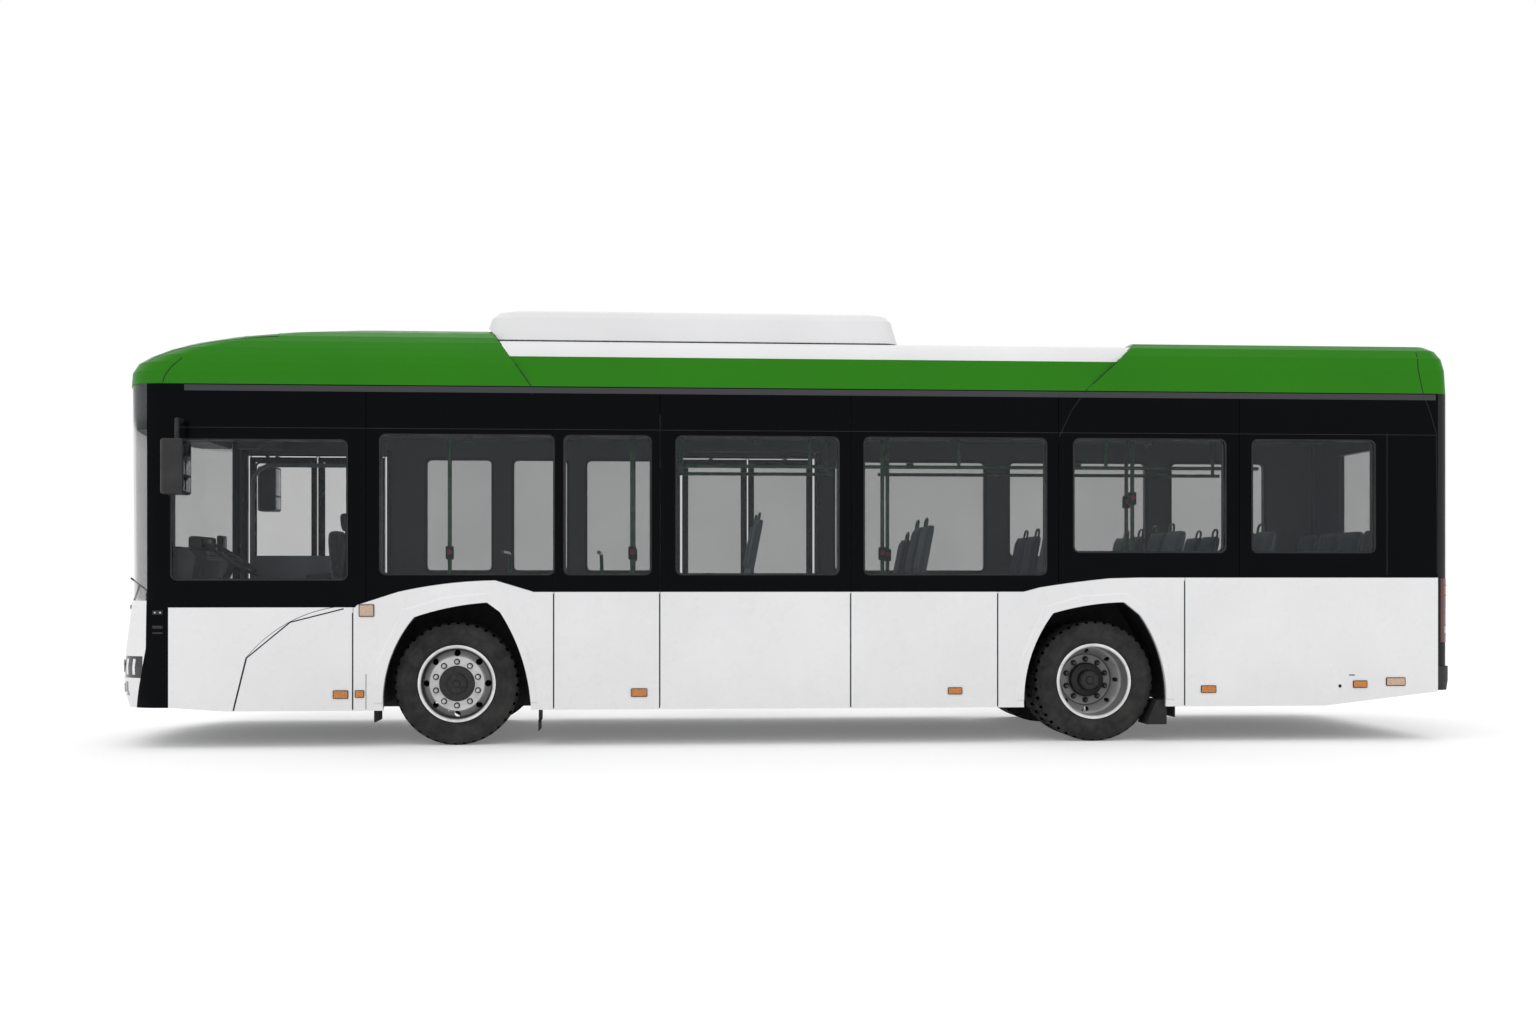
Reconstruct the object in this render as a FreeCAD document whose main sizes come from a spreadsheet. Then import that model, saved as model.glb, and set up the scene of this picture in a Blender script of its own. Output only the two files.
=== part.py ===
import FreeCAD, Part
import math
import os

import Sketcher
from FreeCAD import Placement, Rotation, Vector

# City bus, 10.6 m long, standing on its wheels.
# Frame: +X towards the front, +Y to the driver's left, +Z up.
# The origin lies on the ground, at the middle of the length and of the width.
# A "station" is a distance behind the front axle, as a body shop measures it.

SIZES = (
    # alias, value (mm or degrees)
    ("overall_length", 10588),
    ("body_width", 2550),
    ("front_overhang", 2700),
    ("wheelbase", 5000),
    # shell
    ("panel_skin", 30),          # outer panel
    ("lining", 30),              # inner wall behind it
    ("nose_wall", 40),
    ("panel_gap", 5),            # shut line between two panels
    ("seat_gap", 0.3),           # what lies on a curved or moving neighbour
    ("skirt_z", 280),
    ("mask_z", 309),
    ("band_top_z", 2764),
    ("waist_front_z", 1070),
    ("waist_middle_z", 1187),
    ("waist_rear_z", 1298),
    ("tail_rise_station", 6840),
    ("tail_rise_z", 399),
    # nose and tail in plan
    ("nose_radius", 3536),
    ("nose_corner", 300),
    ("nose_length", 760),
    ("screen_setback", 72),
    ("column_rear_left", 559),   # from the front tip to the column's rear edge
    ("column_rear_right", 524),
    ("column_front", 395),
    ("cowl_z", 1125),            # foot of the windscreen
    ("tail_setback", 25),
    ("tail_corner", 100),
    ("tail_length", 420),
    # roof
    ("roof_front_z", 3270),
    ("roof_middle_z", 3160),
    ("roof_rear_z", 3182),
    ("cove_z", 3000),
    ("cove_inset", 50),
    ("roof_skin", 40),
    ("pod_top_z", 3400),
    ("pod_front_station", 180),
    ("pod_rear_station", 3470),
    ("pod_half_width", 1010),
    ("ceiling_z", 2560),
    ("ceiling_skin", 20),
    # wheels
    ("tyre_radius", 475),
    ("tyre_half_width", 138),
    ("rim_flange_radius", 298),
    ("rim_half_width", 118),
    ("rim_skin", 12),
    ("bead_radius", 284),
    ("front_track_half", 1027),
    ("twin_outer_half", 1050),
    ("twin_inner_half", 738),
    ("kingpin_half", 937),
    ("kingpin_radius", 22),
    ("spindle_radius", 45),
    ("hub_radius", 105),
    ("steer_limit", 40),
    # floor
    ("floor_z", 350),
    ("floor_skin", 40),
    ("step_z", 600),
    ("rear_floor_z", 820),
    ("cab_floor_z", 650),
    ("housing_skin", 12),
    ("housing_inner_half", 570),
    # doors
    ("portal_width", 1250),
    ("portal_head_z", 2410),
    ("sill_z", 372),
    ("door_front_station", -2175),
    ("door_middle_station", 1760),
    ("leaf_skin", 36),
    ("leaf_side_gap", 18),
    ("leaf_middle_gap", 12),
    ("leaf_foot_z", 378),
    ("leaf_head_z", 2400),
    ("leaf_frame", 46),
    ("post_radius", 16),
    ("post_beyond_leaf", 50),
    ("pivot_inset", 85),
    ("arm_width", 24),
    ("arm_height", 12),
    ("pin_radius", 8),
    # rear
    ("lid_half_width", 760),
    ("lid_foot_z", 600),
    ("lid_head_z", 1290),
    ("lid_skin", 30),
    ("lid_gap", 6),
    ("engine_long", 700),
    ("engine_wide", 1100),
    ("engine_high", 640),
)

doc = FreeCAD.newDocument("city_bus")
sheet = doc.addObject("Spreadsheet::Sheet", "sizes")
for row, (alias, value) in enumerate(SIZES, start=1):
    sheet.set("A%d" % row, alias)
    sheet.set("B%d" % row, str(value))
    sheet.setAlias("B%d" % row, alias)
doc.recompute()


class Sizes:
    """The sheet's values as plain numbers."""

    def __getattr__(self, alias):
        return float(sheet.get(alias))


size = Sizes()
nodes = []

FRONT_X = size.overall_length / 2
REAR_X = -FRONT_X
AXLE_FRONT_X = FRONT_X - size.front_overhang
AXLE_REAR_X = AXLE_FRONT_X - size.wheelbase
HALF_WIDTH = size.body_width / 2
TAIL_FACE_X = REAR_X + size.tail_setback
TAIL_X = TAIL_FACE_X + size.tail_corner
COLUMN_FRONT_X = FRONT_X - size.column_front
LEFT_START_X = FRONT_X - size.column_rear_left
RIGHT_START_X = FRONT_X - size.column_rear_right
PANEL_Y = HALF_WIDTH - size.panel_skin
LINING_Y = PANEL_Y - size.lining
REACH = 2 * size.body_width          # longer than any cut needs
LEFT, RIGHT = 1, -1


def at(station):
    """X of a point that lies this far behind the front axle."""
    return AXLE_FRONT_X - station


# ---------------------------------------------------------------- shapes

def on_xz(across, up):
    return Vector(across, 0, up)


def on_xy(along, across):
    return Vector(along, across, 0)


def on_yz(across, up):
    return Vector(0, across, up)


def wire(plane, start, *moves):
    """Closed wire. A move is (a, b) for a line, or ((a, b), (c, d)) for an arc through a point."""
    edges = []
    here = plane(*start)
    for move in moves + (start,):
        if isinstance(move[0], tuple):
            through, end = plane(*move[0]), plane(*move[1])
            edges.append(Part.Arc(here, through, end).toShape())
        else:
            end = plane(*move)
            if here.distanceToPoint(end) > 1e-6:
                edges.append(Part.LineSegment(here, end).toShape())
        here = end
    return Part.Wire(edges)


def block(x0, x1, y0, y1, z0, z1):
    low = Vector(min(x0, x1), min(y0, y1), min(z0, z1))
    return Part.makeBox(abs(x1 - x0), abs(y1 - y0), abs(z1 - z0), low)


def side_prism(outline, y0, y1):
    """A side-view outline drawn out across the bus."""
    face = Part.Face(outline)
    face.translate(Vector(0, min(y0, y1), 0))
    return face.extrude(Vector(0, abs(y1 - y0), 0))


def section_prism(outline, x0, x1):
    face = Part.Face(outline)
    face.translate(Vector(min(x0, x1), 0, 0))
    return face.extrude(Vector(abs(x1 - x0), 0, 0))


def rod(start, end, radius):
    axis = end - start
    return Part.makeCylinder(radius, axis.Length, start, axis)


def rounded_window(x0, x1, z0, z1, radius):
    """Side-view outline of a pane with round corners."""
    low_x, high_x = min(x0, x1), max(x0, x1)
    k = radius * (1 - math.sqrt(0.5))
    return wire(
        on_xz, (low_x + radius, z0), (high_x - radius, z0),
        ((high_x - k, z0 + k), (high_x, z0 + radius)), (high_x, z1 - radius),
        ((high_x - k, z1 - k), (high_x - radius, z1)), (low_x + radius, z1),
        ((low_x + k, z1 - k), (low_x, z1 - radius)), (low_x, z0 + radius),
        ((low_x + k, z0 + k), (low_x + radius, z0)))


def group(shapes):
    """Several solids of one sub-part as one shape."""
    solids = [solid for shape in shapes for solid in shape.Solids]
    return solids[0] if len(solids) == 1 else Part.makeCompound(solids)


def fused(shapes):
    first, rest = shapes[0], shapes[1:]
    return first.fuse(rest).removeSplitter() if rest else first


def feature(label, shape):
    """A sub-part whose shape is worked out by functions."""
    item = doc.addObject("Part::Feature", label)
    item.Label = label
    item.Shape = shape
    item.Placement = Placement()
    nodes.append(item)
    return item


ALIASES = sorted((alias for alias, _ in SIZES), key=len, reverse=True)


def with_sheet(formula):
    words, word = [], ""
    for sign in formula + " ":
        if sign.isalnum() or sign == "_":
            word += sign
            continue
        words.append("sizes." + word if word in ALIASES else word)
        words.append(sign)
        word = ""
    return "".join(words).strip()


def bound_box(name, corner, extent):
    """A box whose corner and extent are formulas of the sheet."""
    item = doc.addObject("Part::Box", name)
    for key, formula in zip(("Length", "Width", "Height"), extent):
        item.setExpression(key, with_sheet(formula))
    for key, formula in zip("xyz", corner):
        item.setExpression(".Placement.Base." + key, with_sheet(formula))
    return item


def bound_group(label, parts):
    item = doc.addObject("Part::Compound", label)
    item.Label = label
    item.Links = parts
    nodes.append(item)
    return item


# ---------------------------------------------------------------- nose, tail and roof forms

def nose_outline(setback, inset, corner, back_x):
    """Plan outline of the front: a wide bow between two round corners, closed behind."""
    half = HALF_WIDTH - inset
    bow = size.nose_radius - inset
    lean = math.asin((half - corner) / (bow - corner))
    bow_x = FRONT_X - setback - size.nose_radius
    corner_x = bow_x + (bow - corner) * math.cos(lean)
    corner_y = half - corner

    def on_corner(angle, side):
        return (corner_x + corner * math.cos(angle), side * (corner_y + corner * math.sin(angle)))

    mid = (lean + math.pi / 2) / 2
    return wire(
        on_xy, (back_x, -half), (corner_x, -half),
        (on_corner(mid, -1), on_corner(lean, -1)),
        ((bow_x + bow, 0), on_corner(lean, 1)),
        (on_corner(mid, 1), (corner_x, half)), (back_x, half))


def tail_outline(setback, inset, corner, front_x):
    """Plan outline of the rear: flat, with two round corners."""
    half = HALF_WIDTH - inset
    face_x = TAIL_FACE_X + setback
    k = corner * (1 - math.sqrt(0.5))
    return wire(
        on_xy, (front_x, -half), (face_x + corner, -half),
        ((face_x + k, -half + k), (face_x, -half + corner)), (face_x, half - corner),
        ((face_x + k, half - k), (face_x + corner, half)), (front_x, half))


def stack(outline, levels, end_x):
    """A body lofted through plan outlines, one for each level, closed at end_x."""
    rings = []
    for z, setback, inset, corner in levels:
        ring = outline(setback, inset, corner, end_x)
        ring.translate(Vector(0, 0, z))
        rings.append(ring)
    return Part.makeLoft(rings, True, True)


def nose_levels(wall):
    """z, setback, inset and corner radius of the front below the roof; wall is the inner offset."""
    corner = size.nose_corner - wall
    return (
        (size.mask_z, 45 + wall, wall, corner),
        (size.mask_z + 130, 6 + wall, wall, corner),
        (size.mask_z + 310, wall, wall, corner),
        (size.cowl_z - 40, size.screen_setback - 12 + wall, wall, corner),
        (size.cowl_z, size.screen_setback + wall, wall, corner),
        (size.band_top_z, size.screen_setback - 12 + wall, wall, corner))


def front_cap_levels(wall, drop):
    """The roof's front dome: each level is smaller and further back."""
    foot, top = size.band_top_z, size.roof_front_z
    rise = top - foot
    corner = size.nose_corner
    table = (
        # share of the rise, setback, inset, extra corner radius
        (0.00, 60, 0, 0),
        (0.19, 62, 6, 0),
        (0.33, 92, 18, 20),
        (0.45, 165, 40, 60),
        (0.57, 262, 75, 100),
        (0.68, 390, 120, 150),
        (0.78, 560, 180, 190),
        (0.87, 790, 270, 210),
        (0.94, 1090, 400, 200),
        (1.00, 1650, 700, 120))
    return [(foot + share * rise - (drop if share else 0), setback + wall, inset + wall,
             corner + extra - wall) for share, setback, inset, extra in table]


def rear_cap_levels():
    foot, top = size.band_top_z, size.roof_rear_z
    rise = top - foot
    table = (
        # share of the rise, setback, inset, corner radius
        (0.00, 0, 0, 100),
        (0.45, 4, 12, 104),
        (0.68, 18, 34, 112),
        (0.84, 48, 78, 120),
        (0.94, 92, 150, 130),
        (1.00, 190, 330, 150))
    return [(foot + share * rise, setback, inset, corner)
            for share, setback, inset, corner in table]


def box_between(x0, x1, z0, z1):
    return block(x0, x1, -REACH, REACH, z0, z1)


def nose_body(wall):
    return stack(nose_outline, nose_levels(wall), FRONT_X - size.nose_length)


nose_shell = nose_body(0).cut(nose_body(size.nose_wall))


# ---------------------------------------------------------------- side wall outlines

SHOULDERS = (
    # axle X, foot ahead, bulge ahead, shoulder ahead, crown, top, knee, bulge behind, foot behind;
    # each as (distance behind the axle, z)
    (AXLE_FRONT_X, -540, (-502, 628), (-306, 993), (-40, 1066), (246, 1104), (344, 1031),
     (488, 742), 580),
    (AXLE_REAR_X, -586, (-548, 628), (-355, 1017), (-80, 1078), (212, 1103), (340, 1001),
     (478, 742), 549),
)


def arch_outline(row):
    axle_x, foot_ahead, bulge, shoulder, crown, top, knee, bulge_behind, foot_behind = row

    def place(point):
        return (axle_x - point[0], point[1])

    low = size.skirt_z - 40
    return wire(
        on_xz, (axle_x - foot_ahead, low), (axle_x - foot_ahead, size.skirt_z),
        (place(bulge), place(shoulder)), (place(crown), place(top)), place(knee),
        (place(bulge_behind), (axle_x - foot_behind, size.skirt_z)),
        (axle_x - foot_behind, low))


def arches(y0, y1):
    return [side_prism(arch_outline(row), y0, y1) for row in SHOULDERS]


FLARES = (
    # axle X, then (distance behind the axle, z) of the flare's outer line from foot to foot
    (AXLE_FRONT_X, (-622, 330), (-600, 640), (-392, 1052), (-90, 1150), (262, 1186), (402, 1090),
     (560, 742), (640, 330)),
    (AXLE_REAR_X, (-650, 330), (-628, 640), (-430, 1075), (-130, 1158), (232, 1180), (400, 1060),
     (545, 742), (622, 330)),
)
FLARE_PROUD, FLARE_CHAMFER = 9, 6


def flare(row, side):
    """Raised lip round an arch, standing on the skirt's face, its outer edge sloped."""
    axle_x = row[0]
    points = [(axle_x - behind, z) for behind, z in row[1:]]
    faces = []
    for out, shrink in ((HALF_WIDTH, 0.0), (HALF_WIDTH + FLARE_PROUD, 0.035)):
        ring = [(axle_x + (x - axle_x) * (1 - shrink), 700 + (z - 700) * (1 - shrink))
                for x, z in points]
        face = wire(on_xz, *ring)
        face.translate(Vector(0, side * out, 0))
        faces.append(face)
    solid = Part.makeLoft(faces, True, True)
    hole = arches(side * (HALF_WIDTH - 1), side * (HALF_WIDTH + FLARE_PROUD + 1))
    return solid.cut(hole)


def waist(x0, x1, z_low, lift):
    """Side-view outline below the waist line, between two X; lift moves the line."""
    hump_front = AXLE_FRONT_X
    hump_rear = AXLE_REAR_X
    front = size.waist_front_z + lift
    middle = size.waist_middle_z + lift
    rear = size.waist_rear_z + lift
    return wire(
        on_xz, (x0, z_low), (x0, front), (hump_front + 750, front),
        (hump_front + 735, front + 18), (hump_front + 427, front + 118),
        ((hump_front + 110, front + 175), (hump_front - 306, front + 206)),
        (hump_front - 588, middle + 4), (hump_front - 596, middle),
        (hump_rear + 586, middle), (hump_rear + 459, rear - 77),
        ((hump_rear + 180, rear - 37), (hump_rear - 100, rear - 6)), (hump_rear - 340, rear),
        (x1, rear), (x1, z_low))


WINDOWS_LEFT = (
    # start station, end station, sill z, head z
    (-2112, -817, 1285, 2334),
    (-556, 748, 1326, 2380),
    (839, 1491, 1326, 2380),
    (1699, 2948, 1326, 2380),
    (3160, 4585, 1326, 2380),
    (4817, 6023, 1503, 2380),
    (6252, 7238, 1503, 2380),
)
WINDOWS_RIGHT = (
    (-560, 30, 1366, 2380),
    (230, 720, 1366, 2380),
    (900, 1520, 1366, 2380),
    (3200, 4610, 1366, 2380),
    (4850, 6150, 1503, 2380),
    (6400, 7300, 1503, 2380),
)
WINDOW_CORNER = 38
SHUT_LINES = (-765, 755, 1568, 3050, 4208, 5702)     # stations of the skirt's panel joints
BAND_LINES = (-667, 755, 1568, 3050, 4690, 6140)           # the same for the glazing band


def cut_windows(shape, windows, y0, y1, grow):
    tools = []
    for start, end, sill, head in windows:
        pane = rounded_window(at(start) + grow, at(end) - grow, sill - grow, head + grow,
                              WINDOW_CORNER + grow)
        tools.append(side_prism(pane, y0, y1))
    return shape.cut(tools)


LEAF_Y = -(PANEL_Y)                       # middle of a closed leaf
PIVOT_Y = LEAF_Y + size.pivot_inset       # line of the posts, inboard
GUIDE_INSET = 26                          # guide roller from the leaf's far edge
DOORS = (
    # name, station of the front edge of its portal
    ("door1", size.door_front_station),
    ("door2", size.door_middle_station),
)


def portal(station, y0, y1, z0, z1):
    return block(at(station), at(station) - size.portal_width, y0, y1, z0, z1)


def tail_rise(y0, y1):
    """What the rising tail takes off the skirt's foot."""
    outline = wire(
        on_xz, (at(size.tail_rise_station), size.skirt_z - 60),
        (at(size.tail_rise_station), size.skirt_z), (TAIL_FACE_X, size.tail_rise_z),
        (TAIL_FACE_X, size.skirt_z - 60))
    return side_prism(outline, y0, y1)


def nose_rise(y0, y1):
    outline = wire(
        on_xz, (LEFT_START_X + REACH, size.skirt_z - 60), (LEFT_START_X + REACH, size.mask_z),
        (LEFT_START_X, size.mask_z), (LEFT_START_X - 420, size.skirt_z),
        (LEFT_START_X - 420, size.skirt_z - 60))
    return side_prism(outline, y0, y1)


def slots(stations, y0, y1, z0, z1):
    half = size.panel_gap / 2
    return [block(at(s) - half, at(s) + half, y0, y1, z0, z1) for s in stations]


def jamb_slots(y0, y1):
    """Shut lines over the whole height at both edges of every portal."""
    edges = [station + wide for _, station in DOORS for wide in (0, size.portal_width)]
    return slots(edges, y0, y1, 0, size.band_top_z)


# The service flap's rear edge on the driver's side: station and z down from the waist.
FLAP_EDGE = ((-750, 1080), (-1240, 955), (-1564, 685), (-1672, 240))


def flap_slot(y0, y1):
    """A bent slot along the service flap's rear edge, one panel gap wide."""
    (top, z_top), (mid, z_mid), (knee, z_knee), (foot, z_foot) = FLAP_EDGE
    wide = size.panel_gap
    return side_prism(wire(
        on_xz, (at(top), z_top), ((at(mid), z_mid), (at(knee), z_knee)), (at(foot), z_foot),
        (at(foot) + wide, z_foot), (at(knee) + wide, z_knee),
        ((at(mid), z_mid + wide), (at(top), z_top + wide))), y0, y1)


def skirt(side, start_x):
    """White lower panels of one side, parted at their shut lines."""
    y0, y1 = side * PANEL_Y, side * HALF_WIDTH
    lift = -size.panel_gap / 2
    shape = side_prism(waist(start_x, TAIL_X, size.skirt_z, lift), y0, y1)
    tools = arches(y0, y1) + [tail_rise(y0, y1), nose_rise(y0, y1)]
    tools += slots(SHUT_LINES, y0, y1, 0, 2000)
    if side == RIGHT:
        tools += [portal(station, y0, y1, size.sill_z, 2000) for _, station in DOORS]
        tools += jamb_slots(y0, y1)
    else:
        tools.append(flap_slot(y0, y1))
    panels = shape.cut(tools)
    lips = [flare(row, side) for row in FLARES]
    trims = slots(SHUT_LINES, side * (HALF_WIDTH - 1), side * (HALF_WIDTH + FLARE_PROUD + 1), 0, 2000)
    return panels.fuse([lip.cut(trims) for lip in lips]).removeSplitter().Solids


def band(side, start_x, windows):
    """Black glazing band of one side, from the waist to the roof edge."""
    y0, y1 = side * PANEL_Y, side * HALF_WIDTH
    lift = size.panel_gap / 2
    tall = block(start_x, TAIL_X, y0, y1, 1000, size.band_top_z)
    shape = tall.cut([side_prism(waist(start_x, TAIL_X, 0, lift), y0, y1)])
    shape = cut_windows(shape, windows, y0, y1, 0)
    tools = slots(BAND_LINES, y0, y1, 0, size.band_top_z)
    if side == RIGHT:
        tools += [portal(station, y0, y1, 0, size.portal_head_z) for _, station in DOORS]
        tools += jamb_slots(y0, y1)
    return shape.cut(tools).Solids


PIN_ROOM = 12                             # lining stays back from the leaves' pins


def lining(side, start_x, windows):
    """Inner wall of one side. On the door side it stands in bays between the portals."""
    y0, y1 = side * LINING_Y, side * PANEL_Y
    shape = block(start_x, TAIL_X, y0, y1, size.skirt_z + 20, size.band_top_z)
    shape = cut_windows(shape, windows, y0, y1, 0)
    tools = arches(y0, y1) + [tail_rise(y0, y1), nose_rise(y0, y1)]
    if side == RIGHT:
        low, high = size.sill_z - PIN_ROOM, size.portal_head_z + PIN_ROOM
        tools += [portal(station, y0, y1, low, high) for _, station in DOORS]
        tools += jamb_slots(y0, y1)
    else:
        tools += slots([1568, 4690], y0, y1, 0, size.band_top_z)
    return shape.cut(tools).Solids


def panes(side, windows):
    """Window glass, set between the band's cut-outs."""
    glass = 8
    y0, y1 = side * (HALF_WIDTH - 4 - glass), side * (HALF_WIDTH - 4)
    gap = size.seat_gap
    result = []
    for start, end, sill, head in windows:
        outline = rounded_window(at(start) - gap, at(end) + gap, sill + gap, head - gap,
                                 WINDOW_CORNER - gap)
        result.append(side_prism(outline, y0, y1))
    return result


feature("side_walls", group([group(lining(LEFT, LEFT_START_X, WINDOWS_LEFT)),
                             group(lining(RIGHT, RIGHT_START_X, WINDOWS_RIGHT))]))
feature("skirt_panels", group([group(skirt(LEFT, LEFT_START_X)),
                               group(skirt(RIGHT, RIGHT_START_X))]))
feature("glazing_bands", group([group(band(LEFT, LEFT_START_X, WINDOWS_LEFT)),
                                group(band(RIGHT, RIGHT_START_X, WINDOWS_RIGHT))]))
feature("side_windows", group(panes(LEFT, WINDOWS_LEFT) + panes(RIGHT, WINDOWS_RIGHT)))


# ---------------------------------------------------------------- front

def front_piece(x0, x1, z0, z1, y_from=-REACH, y_to=REACH):
    return nose_shell.common(block(x0, x1, y_from, y_to, z0, z1))


COLUMN_KNEE_Z, COLUMN_FOOT_AHEAD = 760, 95


def column_zone(back_x, y0, y1, grow):
    """Space of a corner column, whose foot reaches further ahead; grow moves its front edge."""
    front = COLUMN_FRONT_X + grow
    low = size.mask_z - 60
    return side_prism(wire(
        on_xz, (back_x, low), (back_x, size.band_top_z), (front, size.band_top_z),
        (front, COLUMN_KNEE_Z), (front + COLUMN_FOOT_AHEAD, low)), y0, y1)


LEAF_PLAY = 16                            # from the fully opened leaf's far edge outboard


def front_columns():
    """Black corner columns beside the windscreen; the right one is flat towards the open door."""
    door_side_y = PIVOT_Y - GUIDE_INSET - LEAF_PLAY
    left = nose_shell.common(column_zone(LEFT_START_X, 0, REACH, 0))
    right = nose_shell.common(column_zone(RIGHT_START_X, -REACH, door_side_y, 0))
    return group([left, right])


LAMPS_FRONT = (
    # inner y, outer y, z low, z high: head lamp, then fog lamp
    (860, 1400, 535, 700),
    (780, 1180, 400, 505),
)


def lamp_zone(row, side, grow):
    y_in, y_out, z0, z1 = row
    return block(COLUMN_FRONT_X + 30 - grow, FRONT_X, side * (y_in - grow), side * (y_out + grow),
                 z0 - grow, z1 + grow)


def front_mask():
    gap = size.panel_gap
    mask = front_piece(COLUMN_FRONT_X, FRONT_X, 0, size.cowl_z - gap)
    columns = column_zone(RIGHT_START_X, -REACH, REACH, gap)
    return mask.cut([columns] + [lamp_zone(row, side, 0) for row in LAMPS_FRONT
                                 for side in (LEFT, RIGHT)])


def front_lamps():
    """Head lamp and fog lamp units, flush in the mask and ending along the corner columns."""
    skin = nose_body(3).cut(nose_body(size.nose_wall))
    skin = skin.cut(column_zone(RIGHT_START_X, -REACH, REACH, size.panel_gap))
    return [skin.common(lamp_zone(row, side, -size.seat_gap))
            for row in LAMPS_FRONT for side in (LEFT, RIGHT)]


feature("front_columns", front_columns())
feature("front_mask", group([front_mask()]))
feature("front_lamps", group(front_lamps()))

screen_zone = box_between(COLUMN_FRONT_X, FRONT_X, size.cowl_z, size.band_top_z)
feature("windscreen", nose_body(4).cut(nose_body(12)).common(screen_zone))


# ---------------------------------------------------------------- roof

SEAM_FRONT = ((207, 3290), (580, size.band_top_z))      # station and z, top and foot
SEAM_REAR = ((5386, 3200), (4905, size.band_top_z))


def seam_zone(seam, towards):
    """Everything ahead of (+1) or behind (-1) a slanted roof seam."""
    (top_s, top_z), (foot_s, foot_z) = seam
    slope = (top_s - foot_s) / (top_z - foot_z)
    high, low = top_z + 300, foot_z - 300
    far_x = towards * REACH * 4
    outline = wire(
        on_xz, (at(foot_s + slope * (low - foot_z)), low),
        (at(top_s + slope * (high - top_z)), high), (far_x, high), (far_x, low))
    return side_prism(outline, -REACH, REACH)


def roof_zone(low_x, high_x):
    return block(low_x, high_x, -REACH, REACH, size.band_top_z, size.pod_top_z + 100)


def shift_seam(seam, along):
    return tuple((station + along, z) for station, z in seam)


def front_cap():
    """Green dome over the cab, hollow above the ceiling, ending at a slanted seam."""
    back_x = at(900)
    outer = stack(nose_outline, front_cap_levels(0, 0), back_x)
    inner = stack(nose_outline, front_cap_levels(size.roof_skin, size.roof_skin), back_x)
    inner = inner.cut(seam_zone(shift_seam(SEAM_FRONT, -size.roof_skin), -1))
    return outer.cut([seam_zone(SEAM_FRONT, -1), inner])


def rear_cap():
    """Green cap over the engine end."""
    ahead_x = at(4500)
    outer = stack(tail_outline, rear_cap_levels(), ahead_x)
    hollow = block(TAIL_FACE_X + size.tail_corner, at(5500), -HALF_WIDTH + 160, HALF_WIDTH - 160,
                   size.band_top_z, size.roof_rear_z - 3 * size.roof_skin)
    return outer.cut([seam_zone(SEAM_REAR, 1), hollow])


def middle_section(inset):
    """Cross-section of the middle roof: sloped rail, cove and flat top."""
    half = HALF_WIDTH - inset
    cove_y = half - size.cove_inset
    flat = size.roof_middle_z - inset
    foot = size.band_top_z
    cove = size.cove_z

    def side(sign):
        return [(sign * half, foot), (sign * cove_y, cove),
                ((sign * (cove_y - 40), cove + 78), (sign * (cove_y - 140), flat - 24)),
                (sign * (cove_y - 330), flat)]

    right = side(-1)
    left = side(1)
    return wire(
        on_yz, right[0], *right[1:], left[3], left[3 - 1][1],
        (left[2][0], left[1]), left[0])


def middle_roof():
    inside = block(at(8000), at(-3000), -REACH, REACH, size.cove_z, size.pod_top_z)
    shell = section_prism(middle_section(0), at(6000), at(-200))
    hollow = section_prism(middle_section(size.roof_skin), at(6001), at(-199))
    shell = shell.cut([hollow, seam_zone(SEAM_FRONT, 1), seam_zone(SEAM_REAR, -1)])
    return shell.common(inside), shell.cut(inside)


def rounded_slab(x0, x1, half, z0, z1, radius, taper):
    """A housing with round corners in plan whose flanks lean inwards."""
    rings = []
    for z, inset in ((z0, 0), (z1 - radius, taper), (z1 - radius * 0.3, taper + radius * 0.35),
                     (z1, taper + radius)):
        low_x, high_x, y, r = x0 + inset * 1.6, x1 - inset * 2.2, half - inset, radius * 2.2
        k = r * (1 - math.sqrt(0.5))
        ring = wire(
            on_xy, (low_x + r, -y), (high_x - r, -y),
            ((high_x - k, -y + k), (high_x, -y + r)), (high_x, y - r),
            ((high_x - k, y - k), (high_x - r, y)), (low_x + r, y),
            ((low_x + k, y - k), (low_x, y - r)), (low_x, -y + r),
            ((low_x + k, -y + k), (low_x + r, -y)))
        ring.translate(Vector(0, 0, z))
        rings.append(ring)
    return Part.makeLoft(rings, True, True)


roof_top, roof_sides = middle_roof()
feature("roof_front", front_cap())
feature("roof_rear", rear_cap())
feature("roof_middle", group([roof_top]))
feature("roof_rails", group([roof_sides]))


def pod():
    """Air-conditioning housing standing on the roof."""
    x0, x1 = at(size.pod_rear_station), at(size.pod_front_station)
    slab = rounded_slab(x0, x1, size.pod_half_width, size.roof_middle_z, size.pod_top_z, 60, 30)
    dome = seam_zone(SEAM_FRONT, 1).common(roof_zone(at(900), FRONT_X))
    return slab.cut(dome.common(block(-REACH, REACH, -REACH, REACH, 0, size.roof_front_z)))


feature("roof_pod", pod())


# ---------------------------------------------------------------- rear

def tail_levels(wall):
    corner = size.tail_corner - wall
    if wall > size.tail_corner - 10:
        corner = 10
    return ((size.tail_rise_z, wall, wall, corner), (size.band_top_z, wall, wall, corner))


def tail_body(wall):
    return stack(tail_outline, tail_levels(wall), REAR_X + size.tail_length)


tail_shell = tail_body(0).cut(tail_body(size.panel_skin + size.lining))
REAR_WINDOW = (700, 1640, 2420)       # half width, sill z, head z


def lid_zone(grow):
    half = size.lid_half_width + grow
    return block(TAIL_FACE_X - 50, TAIL_FACE_X + size.lid_skin + grow, -half, half,
                 size.lid_foot_z - grow, size.lid_head_z + grow)


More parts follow.
